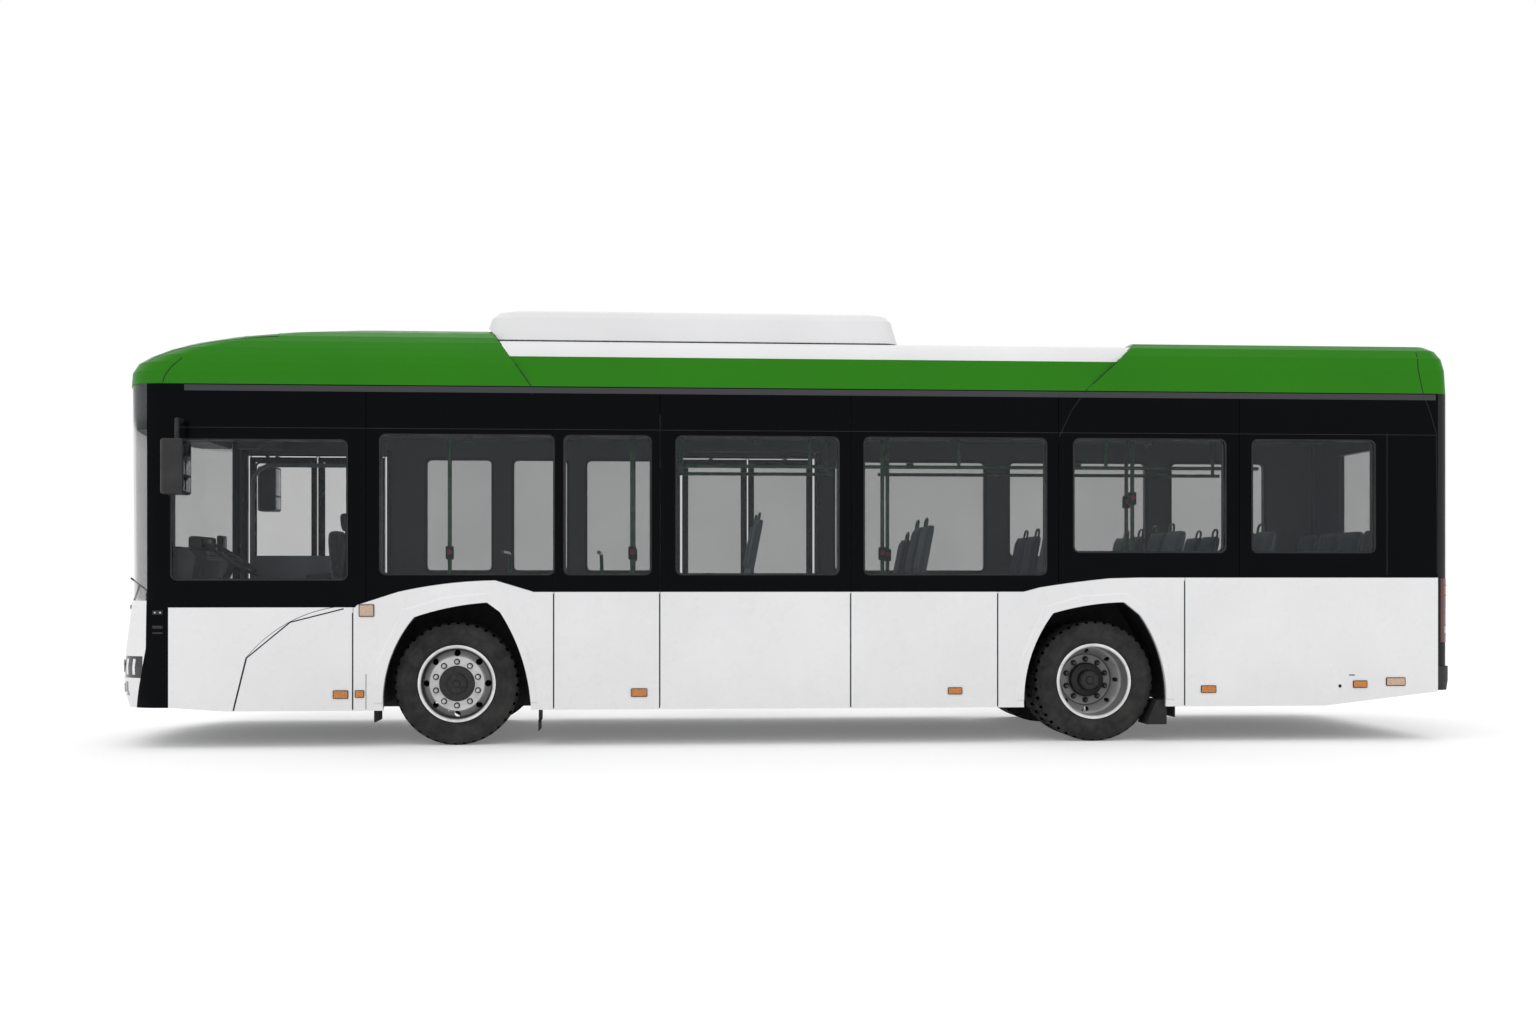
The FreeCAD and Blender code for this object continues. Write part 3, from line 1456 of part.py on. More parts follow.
def leaf_glass(station, hand):
    edge, _, _ = door_points(station, hand)
    far = edge - hand * leaf_width()
    rail = size.leaf_frame
    gap = size.seat_gap
    return block(edge - hand * (rail + gap), far + hand * (rail + gap), LEAF_Y - 12, LEAF_Y - 4,
                 size.leaf_foot_z + 2 * rail + gap, size.leaf_head_z - rail - gap)


for door, station in DOORS:
    for place, hand in (("front", 1), ("rear", -1)):
        tag = "%s_%s" % (door, place)
        feature("arm_" + tag, door_arm(station, hand))
        feature("leaf_" + tag, door_leaf(station, hand))
        feature("glass_" + tag, leaf_glass(station, hand))


# ---------------------------------------------------------------- outside trim

MARKERS = (
    # start station, end station, z low, z high
    (-911, -806, 378, 431),
    (-746, -686, 385, 431),
    (1349, 1464, 382, 436),
    (3816, 3919, 389, 433),
    (5835, 5948, 391, 439),
    (7070, 7176, 425, 473),
    (7340, 7488, 440, 496),
    (-716, -611, 1002, 1086),
)
MARKER_SKIN = 8


def markers():
    """Side marker lamps, reflectors and repeaters, face to face on the skirts."""
    return [block(at(start), at(end), side * HALF_WIDTH, side * (HALF_WIDTH + MARKER_SKIN), z0, z1)
            for side in (LEFT, RIGHT) for start, end, z0, z1 in MARKERS]


MIRROR = {"deep": 168, "wide": 235, "tall": 412, "top_z": 2325, "front_x": 4716, "inner": 60}


def mirror(side):
    """Mirror head hanging from a bent arm on the corner column."""
    near = HALF_WIDTH + MIRROR["inner"]
    far = near + MIRROR["wide"]
    x1, x0 = MIRROR["front_x"], MIRROR["front_x"] - MIRROR["deep"]
    z1, z0 = MIRROR["top_z"], MIRROR["top_z"] - MIRROR["tall"]
    head = block(x0, x1, side * near, side * far, z0, z1)
    upright = [edge for edge in head.Edges
               if abs(edge.Vertexes[0].Z - edge.Vertexes[1].Z) > 1 and edge.CenterOfMass.x > x0 + 1]
    head = head.makeFillet(45, upright)
    tops = [edge for edge in head.Edges if abs(edge.CenterOfMass.z - z1) < 1e-3
            or abs(edge.CenterOfMass.z - z0) < 1e-3]
    head = head.makeFillet(20, tops)
    arm_z = z1 + 150
    mid_x = (x0 + x1) / 2
    knee = Vector(mid_x, side * (near + 70), arm_z)
    arm = rod(Vector(mid_x, side * (HALF_WIDTH - 20), arm_z), knee, 17)
    drop = rod(knee, Vector(mid_x, side * (near + 70), z1 - 10), 17)
    ball = Part.makeSphere(17, knee)
    return fused([head, arm, drop, ball]).cut(block(-REACH, REACH, -HALF_WIDTH, HALF_WIDTH, 0,
                                                    REACH))


def wiper(side):
    """Pivot, arm and blade, parked low across the windscreen."""
    near, far = 120, 760
    glass_x = FRONT_X - size.screen_setback

    def off_glass(y, z, off):
        sag = size.nose_radius - math.sqrt(size.nose_radius ** 2 - y ** 2)
        return Vector(glass_x - sag + off, side * y, z)

    pivot_z = size.cowl_z - 60
    pivot = rod(off_glass(far, pivot_z, -10), off_glass(far, pivot_z, 34), 16)
    arm = rod(off_glass(far, pivot_z, 26), off_glass(near + 320, size.cowl_z + 108, 12), 8)
    blade = rod(off_glass(near, size.cowl_z + 55, 14), off_glass(near + 640, size.cowl_z + 165, 30),
                7)
    return fused([pivot, arm, blade]).cut(nose_body(0))


feature("side_markers", group(markers()))
feature("mirrors", group([mirror(LEFT), mirror(RIGHT)]))
feature("wipers", group([wiper(LEFT), wiper(RIGHT)]))


def destination_sign():
    """Blank sign box behind the top of the windscreen."""
    zone = block(FRONT_X - 470, FRONT_X, -900, 900, 2445, size.ceiling_z)
    return nose_body(16).common(zone)


feature("destination_sign", destination_sign())


# ---------------------------------------------------------------- cab

DRIVER_Y = 640


def fore(distance):
    """X of a cab part that lies this far behind the bus's front face."""
    return FRONT_X - distance


def dashboard():
    """Instrument desk that follows the bow of the windscreen, with a hump before the driver."""
    z = size.cab_floor_z
    outline = wire(
        on_xz, (fore(654), z), (fore(694), z + 560), (fore(734), z + 800),
        ((fore(654), z + 872), (fore(534), z + 868)), (fore(334), z + 520),
        (FRONT_X, z + 480), (FRONT_X, z))
    desk = side_prism(outline, 90, 1180)
    return desk.common(nose_body(size.nose_wall + 5))


def steering_wheel():
    """Wheel and column, tilted to the driver."""
    centre = Vector(fore(889), DRIVER_Y, 1440)
    tilt = Rotation(Vector(0, 1, 0), -34)
    normal = tilt.multVec(Vector(0, 0, 1))
    rim = Part.makeTorus(212, 14, centre, normal)
    hub = rod(centre - normal * 18, centre + normal * 12, 62)
    foot = Vector(fore(694), DRIVER_Y, size.cab_floor_z + 330)
    parts = [rim, hub, rod(centre - normal * 10, foot, 26)]
    for turn in (90, 210, 330):
        spoke = Rotation(normal, turn).multVec(tilt.multVec(Vector(1, 0, 0)))
        parts.append(rod(centre, centre + spoke * 206, 11))
    return fused(parts).cut(dashboard())


def driver_seat():
    """Sprung seat with a head rest."""
    y0, y1 = DRIVER_Y - 245, DRIVER_Y + 245
    base = size.cab_floor_z
    cushion = wire(on_xz, (fore(1674), base + 400), (fore(1214), base + 440),
                   ((fore(1174), base + 480), (fore(1214), base + 520)), (fore(1674), base + 490))
    back = wire(on_xz, (fore(1694), base + 400), (fore(1654), base + 520), (fore(1714), base + 980),
                ((fore(1749), base + 1010), (fore(1784), base + 975)), (fore(1794), base + 500))
    rest = wire(on_xz, (fore(1704), base + 1030), (fore(1734), base + 1170),
                ((fore(1769), base + 1180), (fore(1794), base + 1160)), (fore(1779), base + 1010))
    pedestal = block(fore(1644), fore(1334), DRIVER_Y - 170, DRIVER_Y + 170, base, base + 430)
    parts = [side_prism(cushion, y0, y1), side_prism(back, y0, y1),
             side_prism(rest, DRIVER_Y - 130, DRIVER_Y + 130), pedestal,
             block(fore(1774), fore(1749), DRIVER_Y - 60, DRIVER_Y - 40, base + 950, base + 1080),
             block(fore(1774), fore(1749), DRIVER_Y + 40, DRIVER_Y + 60, base + 950, base + 1080)]
    return fused(parts)


def cab_partition():
    """Wall behind the driver, low cab door and the bent tube above it."""
    x = at(CAB_WALL_STATION)
    y0, z0 = 130, size.cab_floor_z
    wall = block(x, x - 30, y0, LINING_Y, size.floor_z, 2300)
    window = block(x, x - 30, y0 + 90, LINING_Y - 90, 1500, 2210)
    front_x = at(-1800)
    door = block(x, front_x, y0 - 35, y0 - 5, z0, 1480)
    r, tube = 160, 17
    top = 2230
    y = y0 - 20
    foot = Vector(front_x, y, 1400)
    bend_low, bend_high = Vector(front_x, y, top - r), Vector(front_x - r, y, top)
    k = r * (1 - math.sqrt(0.5))
    path = Part.Wire([
        Part.LineSegment(foot, bend_low).toShape(),
        Part.Arc(bend_low, Vector(front_x - k, y, top - k), bend_high).toShape(),
        Part.LineSegment(bend_high, Vector(x - 15, y, top)).toShape()])
    ring = Part.Wire(Part.Circle(foot, Vector(0, 0, 1), tube).toShape())
    bar = path.makePipeShell([ring], True, False)
    post = block(x, x - 30, y0 - 35, y0, z0, 2300)
    return fused([wall.cut(window), door, post, bar])


feature("dashboard", dashboard())
feature("steering_wheel", steering_wheel())
feature("driver_seat", driver_seat())
feature("cab_partition", cab_partition())


# ---------------------------------------------------------------- saloon

SEATS = (
    # station of the seats' back, side, how many abreast from the wall, z of the floor under them
    (2290, LEFT, 2, 900),
    (3640, LEFT, 2, 860),
    (3760, RIGHT, 1, 800),
    (4650, LEFT, 1, 840),
    (4860, RIGHT, 2, 820),
    (5660, LEFT, 2, 820),
    (5800, RIGHT, 2, 820),
    (6400, LEFT, 2, 820),
    (6480, RIGHT, 2, 820),
)
BENCH_BACK_STATION = 7560
BENCH_SEATS = 5
SEAT_PITCH = 440
SEAT_WIDE, SEAT_DEEP, SEAT_SKIN = 420, 420, 28
CUSHION_Z, BACK_Z = 410, 850           # above the floor under the seat
PAD_SKIN, PAD_MARGIN = 22, 25


def seat_outline(back_x, floor, low, high):
    """Side view of the layer between two offsets from the sitting surface."""
    pan, top = floor + CUSHION_Z, floor + BACK_Z

    def p(ahead, z, lean, rise, off):
        return (back_x + ahead + lean * off, z + rise * off)

    def lip(off):
        return p(SEAT_DEEP, pan - 10, 0, 1, off)

    def pan_front(off):
        return p(SEAT_DEEP - 60, pan, 0, 1, off)

    def pan_back(off):
        return p(100, pan - 22, 0, 1, off)

    def bend(off):
        return p(46, pan - 2, 0.707, 0.707, off)

    def back_foot(off):
        return p(20, pan + 48, 0.985, 0.17, off)

    def back_head(off):
        return p(-56, top, 0.985, 0.17, off)

    return wire(
        on_xz, lip(low), pan_front(low), pan_back(low), (bend(low), back_foot(low)),
        back_head(low), back_head(high), back_foot(high), (bend(high), pan_back(high)),
        pan_front(high), lip(high))


def seat_shell(back_x, y, floor):
    half = SEAT_WIDE / 2
    shell = side_prism(seat_outline(back_x, floor, -SEAT_SKIN, 0), y - half, y + half)
    head_z = floor + BACK_Z - 10
    corners = [edge for edge in shell.Edges if edge.CenterOfMass.z > head_z
               and abs(edge.Vertexes[0].Y - edge.Vertexes[-1].Y) < 1e-3]
    return shell.makeFillet(60, corners)


def seat_pad(back_x, y, floor):
    half = SEAT_WIDE / 2 - PAD_MARGIN
    gap = size.seat_gap
    return side_prism(seat_outline(back_x, floor, gap, gap + PAD_SKIN),
                      y - half, y + half)


def seat_rows():
    """Seats carried by a bar from the side wall, singly or in pairs."""
    shells, pads = [], []
    for station, side, abreast, floor in SEATS:
        x = at(station)
        under = floor + CUSHION_Z - SEAT_SKIN - 10
        centres = [side * (LINING_Y - 230 - k * SEAT_PITCH) for k in range(abreast)]
        reach = abs(centres[-1]) - 120
        bar = block(x + 150, x + 210, side * reach, side * LINING_Y, under - 50, under)
        rib = block(x + 110, x + 340, side * reach, side * LINING_Y, under - 12, under + 12)
        row = [seat_shell(x, y, floor) for y in centres]
        shells.append(fused([bar, rib] + row))
        pads += [seat_pad(x, y, floor) for y in centres]
    return shells, pads


def bench():
    """Seats side by side across the engine cover."""
    pitch = 2 * (LINING_Y - 60) / BENCH_SEATS
    floor = ENGINE_COVER_Z - CUSHION_Z + 80
    x = at(BENCH_BACK_STATION)
    shells, pads = [], []
    for k in range(BENCH_SEATS):
        y = -LINING_Y + 60 + pitch * (k + 0.5)
        foot = block(x + 140, x + 320, y - 150, y + 150, ENGINE_COVER_Z,
                     floor + CUSHION_Z - SEAT_SKIN + 6)
        shells.append(fused([seat_shell(x, y, floor), foot]))
        pads.append(seat_pad(x, y, floor))
    return shells, pads


row_shells, row_pads = seat_rows()
bench_shells, bench_pads = bench()
feature("seat_shells", group(row_shells + bench_shells))
feature("seat_pads", group(row_pads + bench_pads))

POLES = (
    # station, y, z of the floor under it
    (-144, 430, 350),
    (1340, 430, 350),
    (1340, -430, 350),
    (3431, 310, 350),
    (3581, -430, 350),
    (5568, 310, 820),
    (5700, -310, 820),
)
POLE_RADIUS = 17


RAILS = (
    # start station, end station, y, z
    (1500, 6600, 470, 2215),
    (1700, 3100, -470, 2215),
    (3500, 6600, -470, 2215),
)
RAIL_RADIUS = 15
RAIL_DROP_PITCH = 1275
LOW_RAILS = (
    # station, y at the wall, y inboard, z of the rail, z of the floor under it
    (357, LINING_Y, 540, 1490, 350),
    (1095, LINING_Y, 540, 1490, 350),
)


def hung_rail(row):
    """A rail under the ceiling on drops that end at the lining."""
    start, end, y, z = row
    top = size.ceiling_z - size.seat_gap
    parts = [rod(Vector(at(start), y, z), Vector(at(end), y, z), RAIL_RADIUS)]
    drops = max(2, round((end - start) / RAIL_DROP_PITCH) + 1)
    for k in range(drops):
        x = at(start + 60 + k * (end - start - 120) / (drops - 1))
        parts.append(rod(Vector(x, y, z), Vector(x, y, top), RAIL_RADIUS))
    return fused(parts)


def low_rail(row):
    """A bow that rises from the floor and bends over to the side wall."""
    station, wall_y, y, z, floor = row
    x, bend = at(station), 150
    foot = Vector(x, y, floor + size.seat_gap)
    turn = Vector(x, y, z - bend)
    middle = Vector(x, y + bend * (1 - math.sqrt(0.5)), z - bend * (1 - math.sqrt(0.5)))
    over = Vector(x, y + bend, z)
    end = Vector(x, wall_y - size.seat_gap, z)
    spine = Part.Wire([Part.LineSegment(foot, turn).toShape(), Part.Arc(turn, middle, over).toShape(),
                       Part.LineSegment(over, end).toShape()])
    ring = Part.Wire(Part.Circle(foot, Vector(0, 0, 1), RAIL_RADIUS).toShape())
    return spine.makePipeShell([ring], True, True)


def handrails():
    """Green poles from floor to ceiling, rails under the ceiling and bows at the aisle."""
    poles = [rod(Vector(at(station), y, floor + size.seat_gap),
                 Vector(at(station), y, size.ceiling_z - size.seat_gap), POLE_RADIUS)
             for station, y, floor in POLES]
    return poles + [hung_rail(row) for row in RAILS] + [low_rail(row) for row in LOW_RAILS]


feature("handrails", group(handrails()))


# ---------------------------------------------------------------- checks and output

doc.recompute()
for item in doc.Objects:
    if "Invalid" in item.State or "Error" in item.State:
        raise RuntimeError("%s could not be built: %s" % (item.Label, item.State))
for item in nodes:
    if item.Shape.isNull() or not item.Shape.isValid():
        raise RuntimeError("%s has no valid shape" % item.Label)

os.makedirs("parts", exist_ok=True)
for item in nodes:
    item.Shape.exportStep(os.path.join("parts", item.Label + ".step"))
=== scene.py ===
"""Looks of a two-axle city bus: finishes, tyres, lamps, seals, seats, cab and cabin fittings."""

import logging
import math
from dataclasses import dataclass, field, replace
from enum import Enum
from typing import Dict, List, Optional, Sequence, Tuple

import bmesh
import bpy
from mathutils import Matrix, Vector
from mathutils.bvhtree import BVHTree


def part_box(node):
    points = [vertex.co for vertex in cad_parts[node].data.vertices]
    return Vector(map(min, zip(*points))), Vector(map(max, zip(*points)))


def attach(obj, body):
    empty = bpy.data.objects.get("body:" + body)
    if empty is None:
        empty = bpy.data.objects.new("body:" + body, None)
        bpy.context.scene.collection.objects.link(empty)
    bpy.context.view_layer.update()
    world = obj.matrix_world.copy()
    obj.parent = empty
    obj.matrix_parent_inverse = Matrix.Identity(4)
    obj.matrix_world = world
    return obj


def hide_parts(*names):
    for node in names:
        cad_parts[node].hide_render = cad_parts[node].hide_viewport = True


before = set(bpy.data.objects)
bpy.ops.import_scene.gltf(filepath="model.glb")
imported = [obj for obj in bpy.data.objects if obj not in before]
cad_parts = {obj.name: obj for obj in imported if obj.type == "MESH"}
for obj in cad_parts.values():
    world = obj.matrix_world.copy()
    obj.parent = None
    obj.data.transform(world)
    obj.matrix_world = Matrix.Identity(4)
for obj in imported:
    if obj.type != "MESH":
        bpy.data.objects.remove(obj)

LOG = logging.getLogger("city_bus")
Colour = Tuple[float, float, float]
Point = Tuple[float, float, float]
Pairs = Tuple[Tuple[float, float], ...]
Spans = Tuple[Tuple[float, float, float, float], ...]
FRONT_AXLE_X = 2.594
REAR_AXLE_X = -2.406
AXLE_Z = 0.475
MIX_FACTOR, MIX_FIRST, MIX_SECOND, MIX_RESULT = 0, 6, 7, 2      # the colour sockets of a mix node


class Side(Enum):
    """The two sides of the bus, as the sign of Y."""

    LEFT = 1
    RIGHT = -1


def at(station: float) -> float:
    """Returns the X of a station, which is a distance behind the front axle."""
    return FRONT_AXLE_X - station


# ---------------------------------------------------------------- finishes

class Nodes:
    """A material's node tree with short calls for the nodes that the finishes share."""

    def __init__(self, name: str) -> None:
        """Starts an empty material.

        Args:
            name: The material's name.
        """
        self.material = bpy.data.materials.new(name)
        self.material.use_nodes = True
        self.tree = self.material.node_tree
        self.shader = self.tree.nodes["Principled BSDF"]
        self.place = self.tree.nodes.new("ShaderNodeTexCoord").outputs["Object"]

    def add(self, kind: str, **values: object) -> bpy.types.Node:
        """Adds one node and sets its properties or input values.

        Args:
            kind: The node's type.
            **values: Property names, or input names with _ for spaces.

        Returns:
            The node.
        """
        node = self.tree.nodes.new(kind)
        for key, value in values.items():
            if hasattr(node, key):
                setattr(node, key, value)
            else:
                node.inputs[key.replace("_", " ")].default_value = value
        return node

    def link(self, source: bpy.types.NodeSocket, target: bpy.types.NodeSocket) -> None:
        """Joins two sockets."""
        self.tree.links.new(source, target)

    def noise(self, scale: float, detail: float = 4.0, stretch: Point = (1, 1, 1)) -> bpy.types.NodeSocket:
        """A noise value on object coordinates.

        Args:
            scale: Cells a metre.
            detail: Octaves.
            stretch: Scale along each axis.

        Returns:
            The noise value's socket.
        """
        mapping = self.add("ShaderNodeMapping")
        mapping.inputs["Scale"].default_value = stretch
        self.link(self.place, mapping.inputs["Vector"])
        node = self.add("ShaderNodeTexNoise", Scale=scale, Detail=detail)
        self.link(mapping.outputs["Vector"], node.inputs["Vector"])
        return node.outputs["Fac"]

    def spread(self, value: bpy.types.NodeSocket, low: float, high: float, start: float = 0.3,
               end: float = 0.7) -> bpy.types.NodeSocket:
        """Maps a value from one range to another.

        Args:
            value: The input socket.
            low: Result at start.
            high: Result at end.
            start: Input that gives low.
            end: Input that gives high.

        Returns:
            The mapped value's socket.
        """
        node = self.add("ShaderNodeMapRange")
        for socket, number in zip(("From Min", "From Max", "To Min", "To Max"), (start, end, low, high)):
            node.inputs[socket].default_value = number
        self.link(value, node.inputs["Value"])
        return node.outputs["Result"]

    def mixed(self, factor: bpy.types.NodeSocket, first: object, second: Colour) -> bpy.types.NodeSocket:
        """Blends two colours by a value.

        Args:
            factor: 0 gives the first colour, 1 the second.
            first: Linear colour, or the socket of one.
            second: Linear colour.

        Returns:
            The blended colour's socket.
        """
        node = self.add("ShaderNodeMix", data_type="RGBA")
        if isinstance(first, bpy.types.NodeSocket):
            self.link(first, node.inputs[MIX_FIRST])
        else:
            node.inputs[MIX_FIRST].default_value = (*first, 1)
        node.inputs[MIX_SECOND].default_value = (*second, 1)
        self.link(factor, node.inputs[MIX_FACTOR])
        return node.outputs[MIX_RESULT]

    def axis(self, name: str) -> bpy.types.NodeSocket:
        """One object coordinate in metres, by its letter."""
        node = self.add("ShaderNodeSeparateXYZ")
        self.link(self.place, node.inputs["Vector"])
        return node.outputs[name]

    def maths(self, operation: str, first: object, second: object = 0.0) -> bpy.types.NodeSocket:
        """A math node on sockets or numbers.

        Args:
            operation: The node's operation.
            first: Socket or number.
            second: Socket or number.

        Returns:
            The result's socket.
        """
        node = self.add("ShaderNodeMath", operation=operation)
        for index, value in enumerate((first, second)):
            if isinstance(value, (int, float)):
                node.inputs[index].default_value = value
            else:
                self.link(value, node.inputs[index])
        return node.outputs[0]

    def bump(self, height: bpy.types.NodeSocket, depth: float) -> None:
        """Gives the shader a bump of that depth in metres."""
        node = self.add("ShaderNodeBump", Distance=depth, Strength=1.0)
        self.link(height, node.inputs["Height"])
        self.link(node.outputs["Normal"], self.shader.inputs["Normal"])

    def finish(self, **values: object) -> bpy.types.Material:
        """Sets the shader's inputs.

        Args:
            **values: Input names with _ for spaces.

        Returns:
            The material.
        """
        for name, value in values.items():
            self.shader.inputs[name.replace("_", " ")].default_value = value
        return self.material

    def colour(self, socket: bpy.types.NodeSocket) -> None:
        """Links a colour to the shader's base colour."""
        self.link(socket, self.shader.inputs["Base Color"])

    def uneven_roughness(self, scale: float, low: float, high: float) -> None:
        """Varies the roughness between two values with noise of that scale."""
        self.link(self.spread(self.noise(scale, 5), low, high), self.shader.inputs["Roughness"])


@dataclass(frozen=True)
class Paint:
    """Sprayed panel paint with orange peel, and road dust towards the ground."""

    name: str
    colour: Colour
    roughness: float = 0.28
    coat: float = 0.35
    specular: float = 0.5
    dust: float = 0.25
    dust_colour: Colour = (0.42, 0.40, 0.36)
    peel: float = 0.00004

    def material(self) -> bpy.types.Material:
        """Returns the node material."""
        nodes = Nodes(self.name)
        shade = tuple(0.94 * value for value in self.colour)
        tone = nodes.mixed(nodes.spread(nodes.noise(1.3, 3), 0, 1), shade, self.colour)
        low = nodes.spread(nodes.axis("Z"), 1.0, 0.0, 0.25, 0.95)
        speckle = nodes.spread(nodes.noise(7.0, 8, (1, 1, 0.5)), 0.0, 1.0, 0.35, 0.75)
        amount = nodes.maths("MULTIPLY", nodes.maths("MULTIPLY", low, speckle), self.dust)
        nodes.colour(nodes.mixed(amount, tone, self.dust_colour))
        nodes.uneven_roughness(9.0, self.roughness - 0.05, self.roughness + 0.08)
        if self.peel > 0:
            nodes.bump(nodes.noise(260.0, 2), self.peel)
        return nodes.finish(Coat_Weight=self.coat, Coat_Roughness=0.06, Specular_IOR_Level=self.specular)


@dataclass(frozen=True)
class WheelPaint:
    """Silver wheel paint that is bright or dull by its distance from the axle: rings of painted highlight on
    the raised rings and the flange, and of painted shade in the recesses.
    """

    name: str
    axle_x: float
    # Radius and shade of each ring: painted highlights on the raised rings and the flange, painted shade in
    # the recesses.
    bands: Pairs
    reach: float = 0.30
    grime_colour: Colour = (0.10, 0.095, 0.09)

    def material(self) -> bpy.types.Material:
        """Returns the node material."""
        nodes = Nodes(self.name)
        along = nodes.maths("SUBTRACT", nodes.axis("X"), self.axle_x)
        up = nodes.maths("SUBTRACT", nodes.axis("Z"), AXLE_Z)
        squares = nodes.maths("ADD", nodes.maths("POWER", nodes.maths("ABSOLUTE", along), 2.0),
                              nodes.maths("POWER", nodes.maths("ABSOLUTE", up), 2.0))
        ramp = nodes.add("ShaderNodeValToRGB")
        nodes.link(nodes.maths("DIVIDE", nodes.maths("SQRT", squares), self.reach), ramp.inputs[0])
        stops = ramp.color_ramp.elements
        while len(stops) < len(self.bands):
            stops.new(0.5)
        # Each stop is a ring of painted highlight or painted shade.
        for stop, (radius, shade) in zip(stops, self.bands):
            stop.position = min(1.0, radius / self.reach)
            stop.color = (shade, shade, shade * 1.01, 1)
        grime = nodes.spread(nodes.noise(11.0, 7), 0.0, 0.35, 0.42, 0.75)
        nodes.colour(nodes.mixed(grime, ramp.outputs[0], self.grime_colour))
        nodes.uneven_roughness(12.0, 0.26, 0.46)
        nodes.bump(nodes.noise(240.0, 2), 0.00005)
        return nodes.finish(Coat_Weight=0.1)


@dataclass(frozen=True)
class Plastic:
    """Moulded plastic or rubber with a fine grain."""

    name: str
    colour: Colour
    roughness: float = 0.55
    grain: float = 700.0
    depth: float = 0.00012
    specular: float = 0.4
    worn: float = 1.25

    def material(self) -> bpy.types.Material:
        """Returns the node material."""
        nodes = Nodes(self.name)
        light = tuple(min(1.0, value * self.worn + 0.004) for value in self.colour)
        nodes.colour(nodes.mixed(nodes.spread(nodes.noise(5.0, 7), 0, 1, 0.35, 0.7), self.colour, light))
        nodes.uneven_roughness(14.0, self.roughness - 0.08, self.roughness + 0.1)
        nodes.bump(nodes.noise(self.grain, 3), self.depth)
        return nodes.finish(Specular_IOR_Level=self.specular)


@dataclass(frozen=True)
class LiningPanel:
    """Wall lining, grained towards the cabin and black where it backs the outer panels' joints: painted
    shade, so that the joints show dark.
    """

    name: str
    colour: Colour
    back_y: float = 1.236
    back_colour: Colour = (0.002, 0.002, 0.002)
    roughness: float = 0.5
    grain: float = 500.0

    def material(self) -> bpy.types.Material:
        """Returns the node material."""
        nodes = Nodes(self.name)
        outward = nodes.maths("ABSOLUTE", nodes.axis("Y"))
        # Painted shade: the lining is black on its outer side, where it is seen through the outer panels'
        # joints.
        shade = nodes.maths("GREATER_THAN", outward, self.back_y)
        cloud = nodes.mixed(nodes.spread(nodes.noise(5.0, 7), 0, 1, 0.35, 0.7), self.colour,
                            tuple(value * 1.1 for value in self.colour))
        nodes.colour(nodes.mixed(shade, cloud, self.back_colour))
        nodes.uneven_roughness(14.0, self.roughness - 0.08, self.roughness + 0.1)
        nodes.bump(nodes.noise(self.grain, 3), 0.00002)
        return nodes.material


@dataclass(frozen=True)
class Metal:
    """Bare or painted metal with a cast or rolled surface and some grime."""

    name: str
    colour: Colour
    roughness: float = 0.35
    metallic: float = 1.0
    grain: float = 120.0
    depth: float = 0.0002
    grime: float = 0.5

    def material(self) -> bpy.types.Material:
        """Returns the node material."""
        nodes = Nodes(self.name)
        dark = tuple(value * (1.0 - self.grime) for value in self.colour)
        nodes.colour(nodes.mixed(nodes.spread(nodes.noise(16.0, 8), 0, 1, 0.35, 0.72), self.colour, dark))
        nodes.uneven_roughness(30.0, self.roughness - 0.08, self.roughness + 0.15)
        nodes.bump(nodes.noise(self.grain, 5), self.depth)
        return nodes.finish(Metallic=self.metallic)


@dataclass(frozen=True)
class Glass:
    """Tinted safety glass: seen through, darker where the tint is deeper, a little uneven."""

    name: str
    tint: Colour = (0.02, 0.025, 0.028)
    cover: float = 0.22
    roughness: float = 0.02
    band_z: Optional[float] = None
    band_cover: float = 0.85
    cab_x: Optional[float] = None
    cab_share: float = 0.62

    def material(self) -> bpy.types.Material:
        """Returns the node material."""
        nodes = Nodes(self.name)
        film = nodes.spread(nodes.noise(1.4, 3), 0.96, 1.05)
        cover = nodes.maths("MULTIPLY", film, self.cover)
        if self.cab_x is not None:
            share = nodes.spread(nodes.axis("X"), 1.0, self.cab_share, self.cab_x, self.cab_x + 0.05)
            cover = nodes.maths("MULTIPLY", cover, share)
        if self.band_z is not None:
            band = nodes.spread(nodes.axis("Z"), 0.0, self.band_cover, self.band_z - 0.05,
                                self.band_z + 0.12)
            cover = nodes.maths("MAXIMUM", cover, band)
        nodes.link(cover, nodes.shader.inputs["Alpha"])
        nodes.colour(nodes.mixed(nodes.spread(nodes.noise(30.0, 6), 0, 1), self.tint,
                                 tuple(value * 1.5 for value in self.tint)))
        return nodes.finish(Roughness=self.roughness, Specular_IOR_Level=0.5)


@dataclass(frozen=True)
class Lens:
    """Coloured lamp lens with a moulded pattern of small pillows."""

    name: str
    colour: Colour
    cover: float = 1.0
    pitch: float = 90.0
    glow: float = 0.0

    def material(self) -> bpy.types.Material:
        """Returns the node material."""
        nodes = Nodes(self.name)
        cells = nodes.add("ShaderNodeTexVoronoi", Scale=self.pitch)
        nodes.link(nodes.place, cells.inputs["Vector"])
        dark = tuple(value * 0.55 for value in self.colour)
        nodes.colour(nodes.mixed(nodes.spread(cells.outputs["Distance"], 0, 1, 0.1, 0.6), self.colour, dark))
        nodes.bump(cells.outputs["Distance"], 0.0006)
        return nodes.finish(Roughness=0.12, Alpha=self.cover, Coat_Weight=0.5,
                            Emission_Color=(*self.colour, 1), Emission_Strength=self.glow)


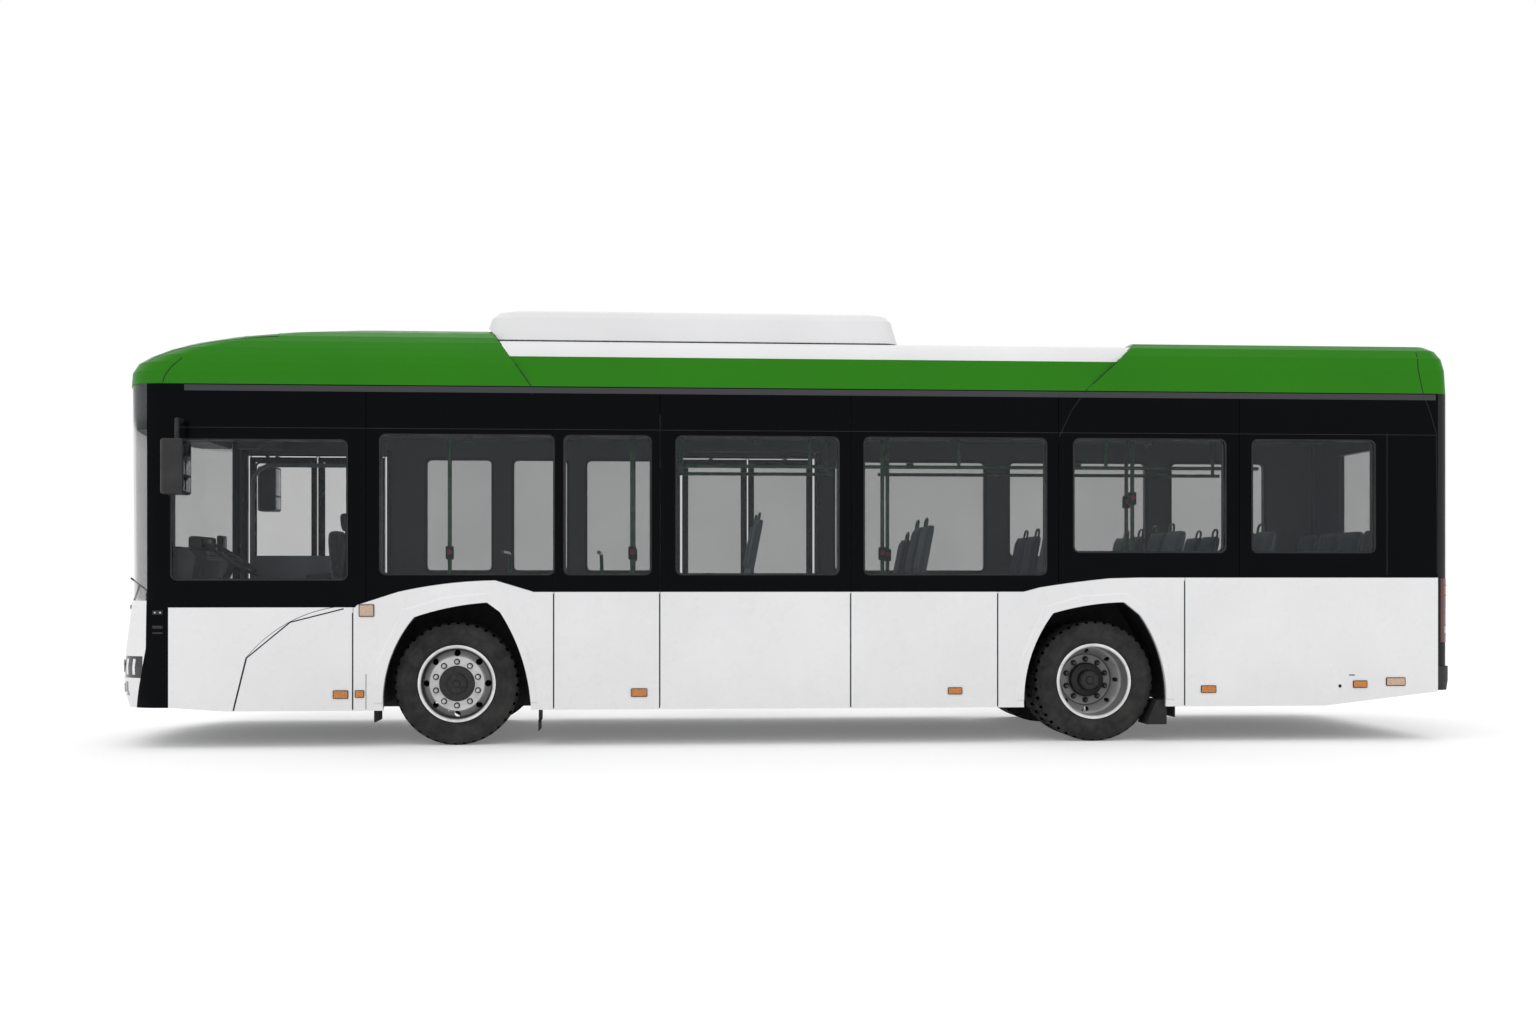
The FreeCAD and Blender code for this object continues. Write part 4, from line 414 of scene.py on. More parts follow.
@dataclass(frozen=True)
class Weave:
    """Seat fabric: a two-way weave with flecks and a soft sheen."""

    name: str
    colour: Colour
    fleck: Colour
    threads: float = 520.0

    def material(self) -> bpy.types.Material:
        """Returns the node material."""
        nodes = Nodes(self.name)
        waves: List[bpy.types.NodeSocket] = []
        for direction in ("X", "Y"):
            wave = nodes.add("ShaderNodeTexWave", Scale=self.threads / 6.0, Distortion=0.6,
                             bands_direction=direction)
            nodes.link(nodes.place, wave.inputs["Vector"])
            waves.append(wave.outputs["Fac"])
        weave = nodes.maths("MULTIPLY", waves[0], waves[1])
        flecks = nodes.spread(nodes.noise(38.0, 2), 0.0, 1.0, 0.55, 0.68)
        nodes.colour(nodes.mixed(nodes.maths("MULTIPLY", flecks, 0.8), self.colour, self.fleck))
        nodes.bump(nodes.maths("ADD", weave, nodes.noise(240.0, 4)), 0.0006)
        nodes.uneven_roughness(60.0, 0.8, 0.95)
        return nodes.finish(Sheen_Weight=0.35, Sheen_Roughness=0.5)


@dataclass(frozen=True)
class TyreRubber:
    """Black tyre rubber, greyer and dustier in patches."""

    name: str = "tyre_rubber"

    def material(self) -> bpy.types.Material:
        """Returns the node material."""
        nodes = Nodes(self.name)
        dust = nodes.spread(nodes.noise(9.0, 8), 0, 0.7, 0.4, 0.75)
        nodes.colour(nodes.mixed(dust, (0.012, 0.012, 0.013), (0.045, 0.043, 0.040)))
        nodes.uneven_roughness(20.0, 0.62, 0.85)
        nodes.bump(nodes.noise(420.0, 4), 0.00025)
        return nodes.finish(Specular_IOR_Level=0.35)


@dataclass(frozen=True)
class ChequerFloor:
    """Vinyl floor covering with fine grit and scuffs."""

    name: str
    colour: Colour = (0.10, 0.11, 0.12)

    def material(self) -> bpy.types.Material:
        """Returns the node material."""
        nodes = Nodes(self.name)
        grit = nodes.spread(nodes.noise(900.0, 2), 0, 1, 0.55, 0.7)
        nodes.colour(nodes.mixed(grit, self.colour, tuple(value * 2.2 for value in self.colour)))
        nodes.bump(nodes.noise(700.0, 3), 0.0003)
        nodes.uneven_roughness(6.0, 0.5, 0.75)
        return nodes.material


class Finishes:
    """Every finish of the bus, made once and handed out by name."""

    TABLE = (
        Paint("white_paint", (0.80, 0.80, 0.81), coat=0.12, specular=0.3, dust=0.05),
        Paint("green_paint", (0.022, 0.185, 0.005), roughness=0.32, coat=0.05, specular=0.10, dust=0.0),
        Paint("roof_white", (0.76, 0.76, 0.77), roughness=0.4, coat=0.1, dust=0.0),
        Paint("black_gloss", (0.0014, 0.0018, 0.0026), roughness=0.16, coat=0.0, specular=0.05,
              dust=0.004, peel=0.0),
        Paint("rear_grey", (0.016, 0.016, 0.019), roughness=0.35, coat=0.0, specular=0.15, dust=0.0,
              peel=0.0),
        # Painted highlight: the grey that the black band's rounded top edge shows where it catches the light.
        Paint("grey_strip", (0.022, 0.021, 0.028), roughness=0.4, coat=0.0, dust=0.0),
        Paint("lamp_black", (0.010, 0.010, 0.012), roughness=0.12, coat=0.6, dust=0.0),
        # The wheels' rings are painted highlights and painted shade of their raised and sunken parts.
        WheelPaint("front_wheel_silver", FRONT_AXLE_X, (
            (0.132, 0.10), (0.140, 0.56), (0.209, 0.60), (0.214, 0.40), (0.224, 0.26), (0.250, 0.30),
            (0.258, 0.12), (0.272, 0.10), (0.284, 0.80), (0.300, 0.80))),
        WheelPaint("rear_wheel_silver", REAR_AXLE_X, (
            (0.128, 0.06), (0.138, 0.20), (0.198, 0.22), (0.204, 0.05), (0.212, 0.24), (0.252, 0.32),
            (0.262, 0.50), (0.272, 0.22), (0.284, 0.80), (0.300, 0.80))),
        Metal("hub_black", (0.016, 0.016, 0.016), roughness=0.5, metallic=0.2, grime=0.4, depth=0.0005),
        Plastic("sealer", (0.012, 0.012, 0.012), roughness=0.6),
        Plastic("dark_line", (0.008, 0.009, 0.010), roughness=0.6, specular=0.2),
        Lens("bright_guide", (0.86, 0.87, 0.90), pitch=140.0, glow=0.25),
        Plastic("black_plastic", (0.012, 0.012, 0.013)),
        Plastic("rubber_seal", (0.010, 0.010, 0.011), roughness=0.7, grain=300.0),
        Plastic("arch_liner", (0.020, 0.020, 0.021), roughness=0.8, grain=160.0, depth=0.0008),
        Plastic("dash_plastic", (0.030, 0.031, 0.033), roughness=0.6, grain=900.0),
        Plastic("lining_plastic", (0.05, 0.052, 0.052), roughness=0.5, grain=500.0, depth=0.00002,
                worn=1.1),
        LiningPanel("wall_lining", (0.05, 0.052, 0.052)),
        Plastic("shell_plastic", (0.045, 0.055, 0.060), roughness=0.42, grain=600.0),
        Plastic("button_red", (0.55, 0.02, 0.015), roughness=0.3),
        Plastic("ticket_case", (0.10, 0.11, 0.12), roughness=0.4),
        Paint("green_tube", (0.012, 0.130, 0.030), roughness=0.25, coat=0.6, dust=0.0),
        Paint("door_black", (0.0045, 0.005, 0.006), roughness=0.22, coat=0.0, specular=0.25, dust=0.05),
        Metal("cast_iron", (0.035, 0.034, 0.033), roughness=0.65, metallic=0.6, grime=0.6),
        Metal("frame_steel", (0.030, 0.031, 0.033), roughness=0.55, metallic=0.3, grime=0.5),
        Metal("zinc_steel", (0.62, 0.62, 0.60), roughness=0.3, grime=0.35),
        Metal("dark_steel", (0.10, 0.10, 0.105), roughness=0.4, grime=0.5),
        Metal("mirror_glass", (0.22, 0.23, 0.25), roughness=0.1, grime=0.05, depth=0.00002),
        Metal("reflector", (0.85, 0.86, 0.88), roughness=0.08, grime=0.05, depth=0.00002),
        Glass("side_glass", cover=0.28, cab_x=3.20, cab_share=0.64),
        Glass("screen_glass", tint=(0.03, 0.034, 0.036), cover=0.30, band_z=2.42, band_cover=0.8),
        Lens("amber_lens", (0.78, 0.24, 0.012)),
        Lens("pale_reflector", (0.78, 0.56, 0.40), pitch=160.0),
        Lens("red_lens", (0.11, 0.002, 0.003)),
        Lens("white_lens", (0.75, 0.76, 0.78), pitch=120.0),
        Weave("seat_weave", (0.020, 0.045, 0.075), (0.050, 0.150, 0.060)),
        Weave("driver_weave", (0.018, 0.019, 0.022), (0.06, 0.065, 0.07)),
        TyreRubber(),
        ChequerFloor("floor_vinyl"),
    )

    def __init__(self) -> None:
        """Keeps the table by name; materials are made when first asked for."""
        self.finishes = {finish.name: finish for finish in self.TABLE}
        self.made: Dict[str, bpy.types.Material] = {}

    def get(self, name: str) -> bpy.types.Material:
        """Returns the material of that finish."""
        if name not in self.made:
            self.made[name] = self.finishes[name].material()
        return self.made[name]

    def dress(self, node: str, name: str) -> None:
        """Gives a CAD node that finish.

        Args:
            node: The CAD node's name.
            name: The finish.
        """
        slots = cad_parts[node].material_slots
        if not slots:
            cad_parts[node].data.materials.append(self.get(name))
        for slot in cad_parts[node].material_slots:
            slot.material = self.get(name)


# ---------------------------------------------------------------- mesh tools

def new_mesh() -> bmesh.types.BMesh:
    """Returns an empty bmesh."""
    return bmesh.new()


def add_box(mesh: bmesh.types.BMesh, low: Point, high: Point, bevel: float = 0.0,
            segments: int = 2) -> List[bmesh.types.BMVert]:
    """Adds a box with softened edges.

    Args:
        mesh: The bmesh.
        low: Lowest corner.
        high: Highest corner.
        bevel: Edge radius.
        segments: Segments of the bevel.

    Returns:
        The box's vertices.
    """
    low_v = Vector([min(a, b) for a, b in zip(low, high)])
    high_v = Vector([max(a, b) for a, b in zip(low, high)])
    matrix = Matrix.Translation((low_v + high_v) / 2) @ Matrix.Diagonal((*(high_v - low_v), 1))
    verts = bmesh.ops.create_cube(mesh, size=1.0, matrix=matrix)["verts"]
    if bevel > 0:
        edges = list(dict.fromkeys(edge for vert in verts for edge in vert.link_edges))
        result = bmesh.ops.bevel(mesh, geom=edges, offset=bevel, affect="EDGES", segments=segments,
                                 profile=0.5, material=-1)
        verts = list(dict.fromkeys(vert for face in result["faces"] for vert in face.verts))
    return verts


def add_rod(mesh: bmesh.types.BMesh, start: Point, end: Point, radius: float, segments: int = 20,
            end_radius: Optional[float] = None) -> List[bmesh.types.BMVert]:
    """Adds a closed rod or cone between two points.

    Args:
        mesh: The bmesh.
        start: Middle of the first end.
        end: Middle of the other end.
        radius: Radius at the start.
        segments: Sides.
        end_radius: Radius at the end, if it differs.

    Returns:
        The rod's vertices.
    """
    start_v, end_v = Vector(start), Vector(end)
    along = end_v - start_v
    turn = along.to_track_quat("Z", "Y").to_matrix().to_4x4()
    matrix = Matrix.Translation((start_v + end_v) / 2) @ turn
    made = bmesh.ops.create_cone(
        mesh, cap_ends=True, segments=segments, radius1=radius,
        radius2=radius if end_radius is None else end_radius, depth=along.length, matrix=matrix)
    return made["verts"]


def add_turned(mesh: bmesh.types.BMesh, profile: Sequence[Tuple[float, float]], centre: Point,
               axis: Point = (0, 1, 0), steps: int = 48, closed: bool = True) -> List[bmesh.types.BMFace]:
    """Turns a profile of radius and distance along the axis into a ring or disc.

    Args:
        mesh: The bmesh.
        profile: Radius and axial distance of each point.
        centre: Point on the axis.
        axis: Unit axis.
        steps: Steps of a full turn.
        closed: Whether the last point joins the first.

    Returns:
        The faces made.
    """
    along = Vector(axis)
    out = Vector((0, 0, 1)) if abs(along.z) < 0.9 else Vector((1, 0, 0))
    out = (out - along * out.dot(along)).normalized()
    origin = Vector(centre)
    verts = [mesh.verts.new(origin + out * radius + along * reach) for radius, reach in profile]
    edges = [mesh.edges.new(pair) for pair in zip(verts, verts[1:])]
    if closed:
        edges.append(mesh.edges.new((verts[-1], verts[0])))
    before = set(mesh.faces)
    bmesh.ops.spin(mesh, geom=verts + edges, cent=origin, axis=along, angle=math.tau, steps=steps,
                   use_merge=True)
    return [face for face in mesh.faces if face not in before]


def add_rounded_frame(mesh: bmesh.types.BMesh, low: Tuple[float, float], high: Tuple[float, float],
                      y: float, depth: float, width: float, corner: float) -> None:
    """Adds a rounded frame that lies in an XZ plane.

    Args:
        mesh: The bmesh.
        low: X and Z of the inner opening's low corner.
        high: X and Z of its high corner.
        y: The frame's outer face.
        depth: Signed thickness towards -Y or +Y.
        width: Width of the frame's strip.
        corner: Corner radius of the opening.
    """
    x0, x1 = low[0] - width, high[0] + width
    z0, z1 = low[1] - width, high[1] + width
    verts = [mesh.verts.new((x, y, z)) for x, z in ((x0, z0), (x1, z0), (x1, z1), (x0, z1))]
    face = mesh.faces.new(verts)
    result = bmesh.ops.bevel(mesh, geom=verts, offset=corner + width, affect="VERTICES", segments=6,
                             profile=0.5, material=-1)
    face = next(item for item in mesh.faces if item.is_valid and result["verts"][0] in item.verts
                and len(item.verts) > 8)
    bmesh.ops.inset_region(mesh, faces=[face], thickness=width, use_even_offset=True, use_boundary=True)
    strip = list(dict.fromkeys(other for edge in face.edges for other in edge.link_faces if other != face))
    bmesh.ops.delete(mesh, geom=[face], context="FACES")
    made = bmesh.ops.extrude_face_region(mesh, geom=strip)
    moved = [item for item in made["geom"] if isinstance(item, bmesh.types.BMVert)]
    bmesh.ops.translate(mesh, verts=moved, vec=(0, depth, 0))


def turned_copies(mesh: bmesh.types.BMesh, verts: List[bmesh.types.BMVert], centre: Point,
                  axis: Point, count: int) -> None:
    """Repeats some vertices and their faces round an axis.

    Args:
        mesh: The bmesh.
        verts: What is repeated.
        centre: Point on the axis.
        axis: Unit axis.
        count: Copies in a full turn, the first included.
    """
    members = set(verts)
    edges = [edge for edge in mesh.edges if set(edge.verts) <= members]
    faces = [face for face in mesh.faces if set(face.verts) <= members]
    bmesh.ops.spin(mesh, geom=verts + edges + faces, cent=Vector(centre), axis=Vector(axis),
                   angle=math.tau * (count - 1) / count, steps=count - 1, use_duplicate=True)


def make_piece(mesh: bmesh.types.BMesh, name: str, body: str,
               material: bpy.types.Material, smooth: float = 40.0,
               replaces: Sequence[str] = ()) -> bpy.types.Object:
    """Makes a finished object of a bmesh and lets it ride on a body.

    Args:
        mesh: The bmesh, which is freed.
        name: The piece's name.
        body: The CAD body it rides on.
        material: Its material.
        smooth: Faces that meet at less than this angle, in degrees, are shaded smooth.
        replaces: CAD nodes that it stands for.

    Returns:
        The object.
    """
    bmesh.ops.recalc_face_normals(mesh, faces=list(mesh.faces))
    for face in mesh.faces:
        face.smooth = True
    for edge in mesh.edges:
        if len(edge.link_faces) == 2 and edge.calc_face_angle(0.0) > math.radians(smooth):
            edge.smooth = False
    data = bpy.data.meshes.new(name)
    mesh.to_mesh(data)
    mesh.free()
    data.materials.append(material)
    piece = bpy.data.objects.new(name, data)
    bpy.context.scene.collection.objects.link(piece)
    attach(piece, body)
    if replaces:
        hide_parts(*replaces)
    LOG.info("%s: %d faces on %s", name, len(data.polygons), body)
    return piece


def bent_tube(mesh: bmesh.types.BMesh, points: Sequence[Point], radius: float, bend: float) -> None:
    """Adds a tube along straight runs with rounded corners.

    Args:
        mesh: The bmesh.
        points: The tube's corners.
        radius: Tube radius.
        bend: Bend radius at the corners.
    """
    curve = bpy.data.curves.new("tube_path", "CURVE")
    curve.dimensions = "3D"
    curve.bevel_depth = radius
    curve.bevel_resolution = 3
    curve.use_fill_caps = True
    curve.resolution_u = 8
    spline = curve.splines.new("BEZIER")
    knots = rounded_knots([Vector(point) for point in points], bend)
    spline.bezier_points.add(len(knots) - 1)
    for item, (place, before, after) in zip(spline.bezier_points, knots):
        item.co, item.handle_left, item.handle_right = place, before, after
    holder = bpy.data.objects.new("tube_path", curve)
    bpy.context.scene.collection.objects.link(holder)
    data = bpy.data.meshes.new_from_object(holder.evaluated_get(bpy.context.evaluated_depsgraph_get()))
    mesh.from_mesh(data)
    bpy.data.objects.remove(holder)
    bpy.data.curves.remove(curve)
    bpy.data.meshes.remove(data)


def rounded_knots(points: List[Vector], bend: float) -> List[Tuple[Vector, Vector, Vector]]:
    """Bezier knots of a path whose corners are rounded.

    Args:
        points: The path's corners.
        bend: Length that each rounded corner takes from its runs.

    Returns:
        Each knot's place and its two handles.
    """
    pull, tip, most = 0.55, 0.1, 0.48
    knots = [(points[0], points[0], points[0])]
    for previous, point, following in zip(points, points[1:], points[2:]):
        before, after = previous - point, following - point
        reach = min(bend, before.length * most, after.length * most)
        back, ahead = before.normalized() * reach, after.normalized() * reach
        start, end = point + back, point + ahead
        knots.append((start, start + back * tip, start.lerp(point, pull)))
        knots.append((end, end.lerp(point, pull), end + ahead * tip))
    knots.append((points[-1], points[-1], points[-1]))
    return knots


class Skin:
    """The outer surface of some CAD nodes, on which thin trims are laid."""

    def __init__(self, *nodes: str) -> None:
        """Gathers the nodes' faces.

        Args:
            nodes: The CAD nodes.
        """
        corners: List[Vector] = []
        faces: List[List[int]] = []
        for name in nodes:
            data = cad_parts[name].data
            start = len(corners)
            corners += [vert.co.copy() for vert in data.vertices]
            faces += [[start + index for index in face.vertices] for face in data.polygons]
        self.tree = BVHTree.FromPolygons(corners, faces)

    def under(self, start: Sequence[float], look: Sequence[float]) -> Optional[Tuple[Vector, Vector]]:
        """Finds the surface that is seen from a point.

        Args:
            start: The point.
            look: Direction of the look.

        Returns:
            The spot and the direction away from the surface there, or None.
        """
        place, normal, _, _ = self.tree.ray_cast(Vector(start), Vector(look).normalized())
        if place is None:
            return None
        return place, normal if normal.dot(Vector(look)) < 0 else -normal


def add_seam(mesh: bmesh.types.BMesh, skin: Skin, path: Sequence[Point], look: Point, width: float,
             thick: float = 0.0012, pitch: float = 0.05) -> None:
    """Lays a thin strip on a surface.

    Args:
        mesh: The bmesh.
        skin: The surface.
        path: Corners of the strip's middle line, off the surface.
        look: Direction in which the line is thrown on the surface.
        width: Width of the strip.
        thick: How far it stands proud.
        pitch: Longest step along it.
    """
    spots = []
    for first, second in zip(path, path[1:]):
        start, run = Vector(first), Vector(second) - Vector(first)
        steps = max(1, math.ceil(run.length / pitch))
        spots += [skin.under(start + run * (index / steps), look) for index in range(steps)]
    spots.append(skin.under(path[-1], look))
    spots = [spot for spot in spots if spot is not None]
    last = len(spots) - 1
    if last < 1:
        LOG.warning("a seam found no surface")
        return
    strip = bmesh.ops.create_grid(mesh, x_segments=last, y_segments=1, size=0.5)["verts"]
    lift: Dict[bmesh.types.BMVert, Vector] = {}
    for vert in strip:
        index = round((vert.co.x + 0.5) * last)
        place, normal = spots[index]
        along = spots[min(index + 1, last)][0] - spots[max(index - 1, 0)][0]
        across = along.cross(normal).normalized() * math.copysign(width / 2, vert.co.y)
        vert.co = place + across - normal * 0.0008
        lift[vert] = normal * (thick + 0.0008)
    raise_copy(mesh, lift)


def raise_copy(mesh: bmesh.types.BMesh, lift: Dict[bmesh.types.BMVert, Vector]) -> None:
    """Closes an open sheet into a body by a raised copy of it.

    Args:
        mesh: The bmesh.
        lift: How far each vertex of the sheet is raised.
    """
    sheet = list(dict.fromkeys(face for vert in lift for face in vert.link_faces))
    pushes = {vert.co.to_tuple(6): push for vert, push in lift.items()}
    made = bmesh.ops.extrude_face_region(mesh, geom=sheet)["geom"]
    for vert in [item for item in made if isinstance(item, bmesh.types.BMVert)]:
        vert.co += pushes[vert.co.to_tuple(6)]


def cushion_mesh(low: Point, high: Point, crown: float, channels: Sequence[float] = (), pull: float = 0.03,
                 lean: float = 0.0) -> bmesh.types.BMesh:
    """Makes a closed cushion, crowned on top, whose sides pull in between its corners.

    Args:
        low: Lowest corner before it leans.
        high: Highest corner before it leans.
        crown: Rise of its middle.
        channels: Places of the sewn channels across it, from -1 to 1.
        pull: Share by which the sides pull in.
        lean: Turn about the bus's width, in degrees.

    Returns:
        The cushion's bmesh.
    """
    mesh = new_mesh()
    bmesh.ops.create_cube(mesh, size=2.0)
    bmesh.ops.subdivide_edges(mesh, edges=list(mesh.edges), cuts=15, use_grid_fill=True)
    half = (Vector(high) - Vector(low)) / 2
    power = 5.0
    for vert in mesh.verts:
        u, v, w = vert.co / sum(abs(part) ** power for part in vert.co) ** (1 / power)
        groove = sum(math.exp(-((v - place) / 0.035) ** 2) for place in channels)
        top = max(0.0, w) * (1 - u * u) * (1 - v * v)
        vert.co = Vector((u * half.x * (1 - pull * (1 - v * v)), v * half.y * (1 - pull * (1 - u * u)),
                          w * half.z + top * crown - max(0.0, w) * groove * 0.007))
    turn = Matrix.Rotation(math.radians(lean), 4, "Y")
    bmesh.ops.transform(mesh, verts=list(mesh.verts),
                        matrix=Matrix.Translation((Vector(low) + Vector(high)) / 2) @ turn)
    return mesh


@dataclass
class Trim:
    """A family of pieces that draws on the bus's finishes."""

    finishes: Finishes

    def put(self, mesh: bmesh.types.BMesh, name: str, slot: str, finish: str, body: str = "body",
            smooth: float = 40.0, replaces: Sequence[str] = ()) -> bpy.types.Object:
        """Makes a finished object of a bmesh; see make_piece for the arguments.

        Returns:
            The object.
        """
        return make_piece(mesh, name, body, self.finishes.get(finish), smooth, replaces)


# ---------------------------------------------------------------- wheels

@dataclass
class Tyre:
    """A truck tyre with ribs, shoulder lugs and sidewall rings."""

    radius: float = 0.475
    bead: float = 0.2846
    groove: float = 0.013
    steps: int = 120
    lug_every: int = 3

    def profile(self) -> List[Tuple[float, float]]:
        """Returns the closed section: radius and distance from the middle plane."""
        top = self.radius
        half = [
            (self.bead, 0.1075), (0.2985, 0.1082), (0.3030, 0.1120), (0.3110, 0.1165),
            (0.3125, 0.1195), (0.3165, 0.1198), (0.3180, 0.1180), (0.3400, 0.1290), (0.3620, 0.1355),
            (0.3720, 0.1362), (0.3735, 0.1376), (0.3790, 0.1378), (0.3805, 0.1366), (0.4050, 0.1360),
            (0.4200, 0.1345), (0.4215, 0.1358), (0.4260, 0.1354), (0.4275, 0.1338), (0.4450, 0.1290),
            (0.4590, 0.1230), (top - 0.006, 0.1165), (top - 0.001, 0.1060), (top, 0.0880),
            (top, 0.0800), (top - self.groove, 0.0780), (top - self.groove, 0.0710), (top, 0.0690),
            (top, 0.0320), (top - self.groove, 0.0300), (top - self.groove, 0.0230), (top, 0.0210)]
        return half + [(radius, -out) for radius, out in reversed(half)]

    def add(self, mesh: bmesh.types.BMesh, centre: Point) -> None:
        """Adds one tyre.

        Args:
            mesh: The bmesh.
            centre: Middle of the tyre.
        """
        faces = add_turned(mesh, self.profile(), centre, steps=self.steps)
        lugs = [face for face in faces if self.is_lug(face, Vector(centre))]
        cut = bmesh.ops.extrude_discrete_faces(mesh, faces=lugs)["faces"]
        for face in cut:
            middle = face.calc_center_median() - Vector(centre)
            inward = -Vector((middle.x, 0, middle.z)).normalized()
            bmesh.ops.translate(mesh, verts=face.verts, vec=inward * self.groove * 0.8)

    def is_lug(self, face: bmesh.types.BMFace, centre: Vector) -> bool:
        """Tells whether a face is the floor of a slot across the tyre's shoulder or ribs."""
        middle = face.calc_center_median() - centre
        radius = math.hypot(middle.x, middle.z)
        step = int((math.atan2(middle.z, middle.x) % math.tau) / math.tau * self.steps)
        shoulder = 0.083 < abs(middle.y) < 0.122 and radius > self.radius - 0.012
        rib = 0.035 < abs(middle.y) < 0.068 and radius > self.radius - 0.004
        return (shoulder and step % self.lug_every == 0) or (rib and step % (2 * self.lug_every) == 1)


@dataclass(frozen=True)
class Hub:
    """What differs between the wheels of the two axles, measured outboard of the hub's Y."""

    body: str
    node: str
    x: float
    y: float
    tyre_y: Tuple[float, ...]
    nut_seat: float
    nut_circle: float
    nut_finish: str
    cover: Pairs
    cap_circle: float
    cap_bolts: int
    valve_y: float
    valve_circle: float


@dataclass
class Wheels(Trim):
    """Tyres, wheel nuts, valves and hub bolts of both axles."""

    nut_count: int = 10
    nut_size: float = 0.0165
    hubs: Tuple[Hub, ...] = (
        Hub("front_wheel_", "tyre_front_", FRONT_AXLE_X, 1.027, (1.027,), 0.0962, 0.169, "zinc_steel", (
            (0.0, 0.1432), (0.0638, 0.1432), (0.0803, 0.1328), (0.0823, 0.1132), (0.1316, 0.1072),
            (0.1372, 0.0966)), 0.052, 6, 1.067, 0.245),
        Hub("rear_wheels_", "tyres_rear_", REAR_AXLE_X, 0.894, (1.050, 0.738), 0.0142, 0.165, "dark_steel", (
            (0.0, 0.1512), (0.0718, 0.1512), (0.0822, 0.1406), (0.0843, 0.0850), (0.1276, 0.0712),
            (0.1362, 0.0586), (0.1362, 0.0146)), 0.060, 8, 1.080, 0.262))

    def build(self) -> None:
        """Builds all the wheels' pieces."""
        for side in Side:
            for make in (self.tyres, self.nuts, self.cover, self.hub_bolts, self.valve):
                for hub in self.hubs:
                    make(hub.body + side.name.lower(), side, hub)

    def tyres(self, body: str, side: Side, hub: Hub) -> None:
        """Builds the tyres of one body, which stand for its CAD tyres.

        Args:
            body: Body that they ride on.
            side: Side of the bus.
            hub: The wheel's sizes.
        """
        mesh = new_mesh()
        for y in hub.tyre_y:
            Tyre().add(mesh, (hub.x, side.value * y, AXLE_Z))
        node = hub.node + side.name.lower()
        self.put(mesh, node + "_tread", "tyre", "tyre_rubber", body, smooth=28.0, replaces=[node])

    def nuts(self, body: str, side: Side, hub: Hub) -> None:
        """Builds the ring of wheel nuts with their washers and stud ends.

        Args:
            body: Body that they ride on.
            side: Side of the bus.
            hub: The wheel's sizes.
        """
        y, z = hub.y + hub.nut_seat, AXLE_Z + hub.nut_circle
        washer = ((0.0, 0.004, self.nut_size + 0.007, 24, 1.0),)
        nut = ((0.004, 0.022, self.nut_size, 6, 1.0), (0.022, 0.027, self.nut_size * 0.93, 12, 0.6),
               (0.018, 0.036, 0.0095, 12, 0.9))
        for part, finish, rods in (("washers", "hub_black", washer), ("nuts", hub.nut_finish, nut)):
            mesh = new_mesh()
            for start, end, radius, steps, taper in rods:
                add_rod(mesh, (hub.x, side.value * (y + start), z), (hub.x, side.value * (y + end), z),
                        radius, steps, radius * taper)
            turned_copies(mesh, list(mesh.verts), (hub.x, 0, AXLE_Z), (0, 1, 0), self.nut_count)
            self.put(mesh, "%s_%s" % (body, part), "steel", finish, body)

    def cover(self, body: str, side: Side, hub: Hub) -> None:
        """Builds the black cover that lies over a hub.

        Args:
            body: Body that it rides on.
            side: Side of the bus.
            hub: The wheel's sizes.
        """
        mesh = new_mesh()
        add_turned(mesh, [(radius, side.value * (hub.y + out)) for radius, out in hub.cover],
                   (hub.x, 0, AXLE_Z), steps=64, closed=False)
        self.put(mesh, body + "_hub_cover", "cast", "hub_black", body, smooth=25.0)

    def hub_bolts(self, body: str, side: Side, hub: Hub) -> None:
        """Builds the small bolts and the middle boss on a hub's end cap.

        Args:
            body: Body that they ride on.
            side: Side of the bus.
            hub: The wheel's sizes.
        """
        mesh = new_mesh()
        out, circle = side.value, hub.cap_circle
        y, z = hub.y + hub.cover[0][1], AXLE_Z + circle
        add_rod(mesh, (hub.x, out * y, z), (hub.x, out * (y + 0.007), z), 0.0075, 6)
        turned_copies(mesh, list(mesh.verts), (hub.x, 0, AXLE_Z), (0, 1, 0), hub.cap_bolts)
        boss = [(0.0, 0.0), (circle * 0.55, 0.0), (circle * 0.55, 0.006), (circle * 0.45, 0.012),
                (0.0, 0.014)]
        add_turned(mesh, [(r, out * d) for r, d in boss], (hub.x, out * y, AXLE_Z), steps=32, closed=False)
        self.put(mesh, body + "_hub_bolts", "cast", "hub_black", body)

    def valve(self, body: str, side: Side, hub: Hub) -> None:
        """Builds the tyre valve beside the rim: a bent stem and its cap.

        Args:
            body: Body that it rides on.
            side: Side of the bus.
            hub: The wheel's sizes.
        """
        mesh = new_mesh()
        out, circle = side.value, hub.valve_circle
        root = Vector((hub.x + circle * 0.28, out * hub.valve_y, AXLE_Z - circle * 0.93))
        inward = Vector((hub.x, out * hub.valve_y, AXLE_Z)) - root
        bend = root + inward.normalized() * 0.022 + Vector((0, out * 0.02, 0))
        stem, tip = bend + Vector((0, out * 0.035, 0)), bend + Vector((0, out * 0.047, 0))
        for start, end, radius in ((root, bend, 0.0055), (bend, stem, 0.0048), (stem, tip, 0.0062)):
            add_rod(mesh, start, end, radius, 12)
        self.put(mesh, body + "_valve", "steel", "zinc_steel", body)


# ---------------------------------------------------------------- outside

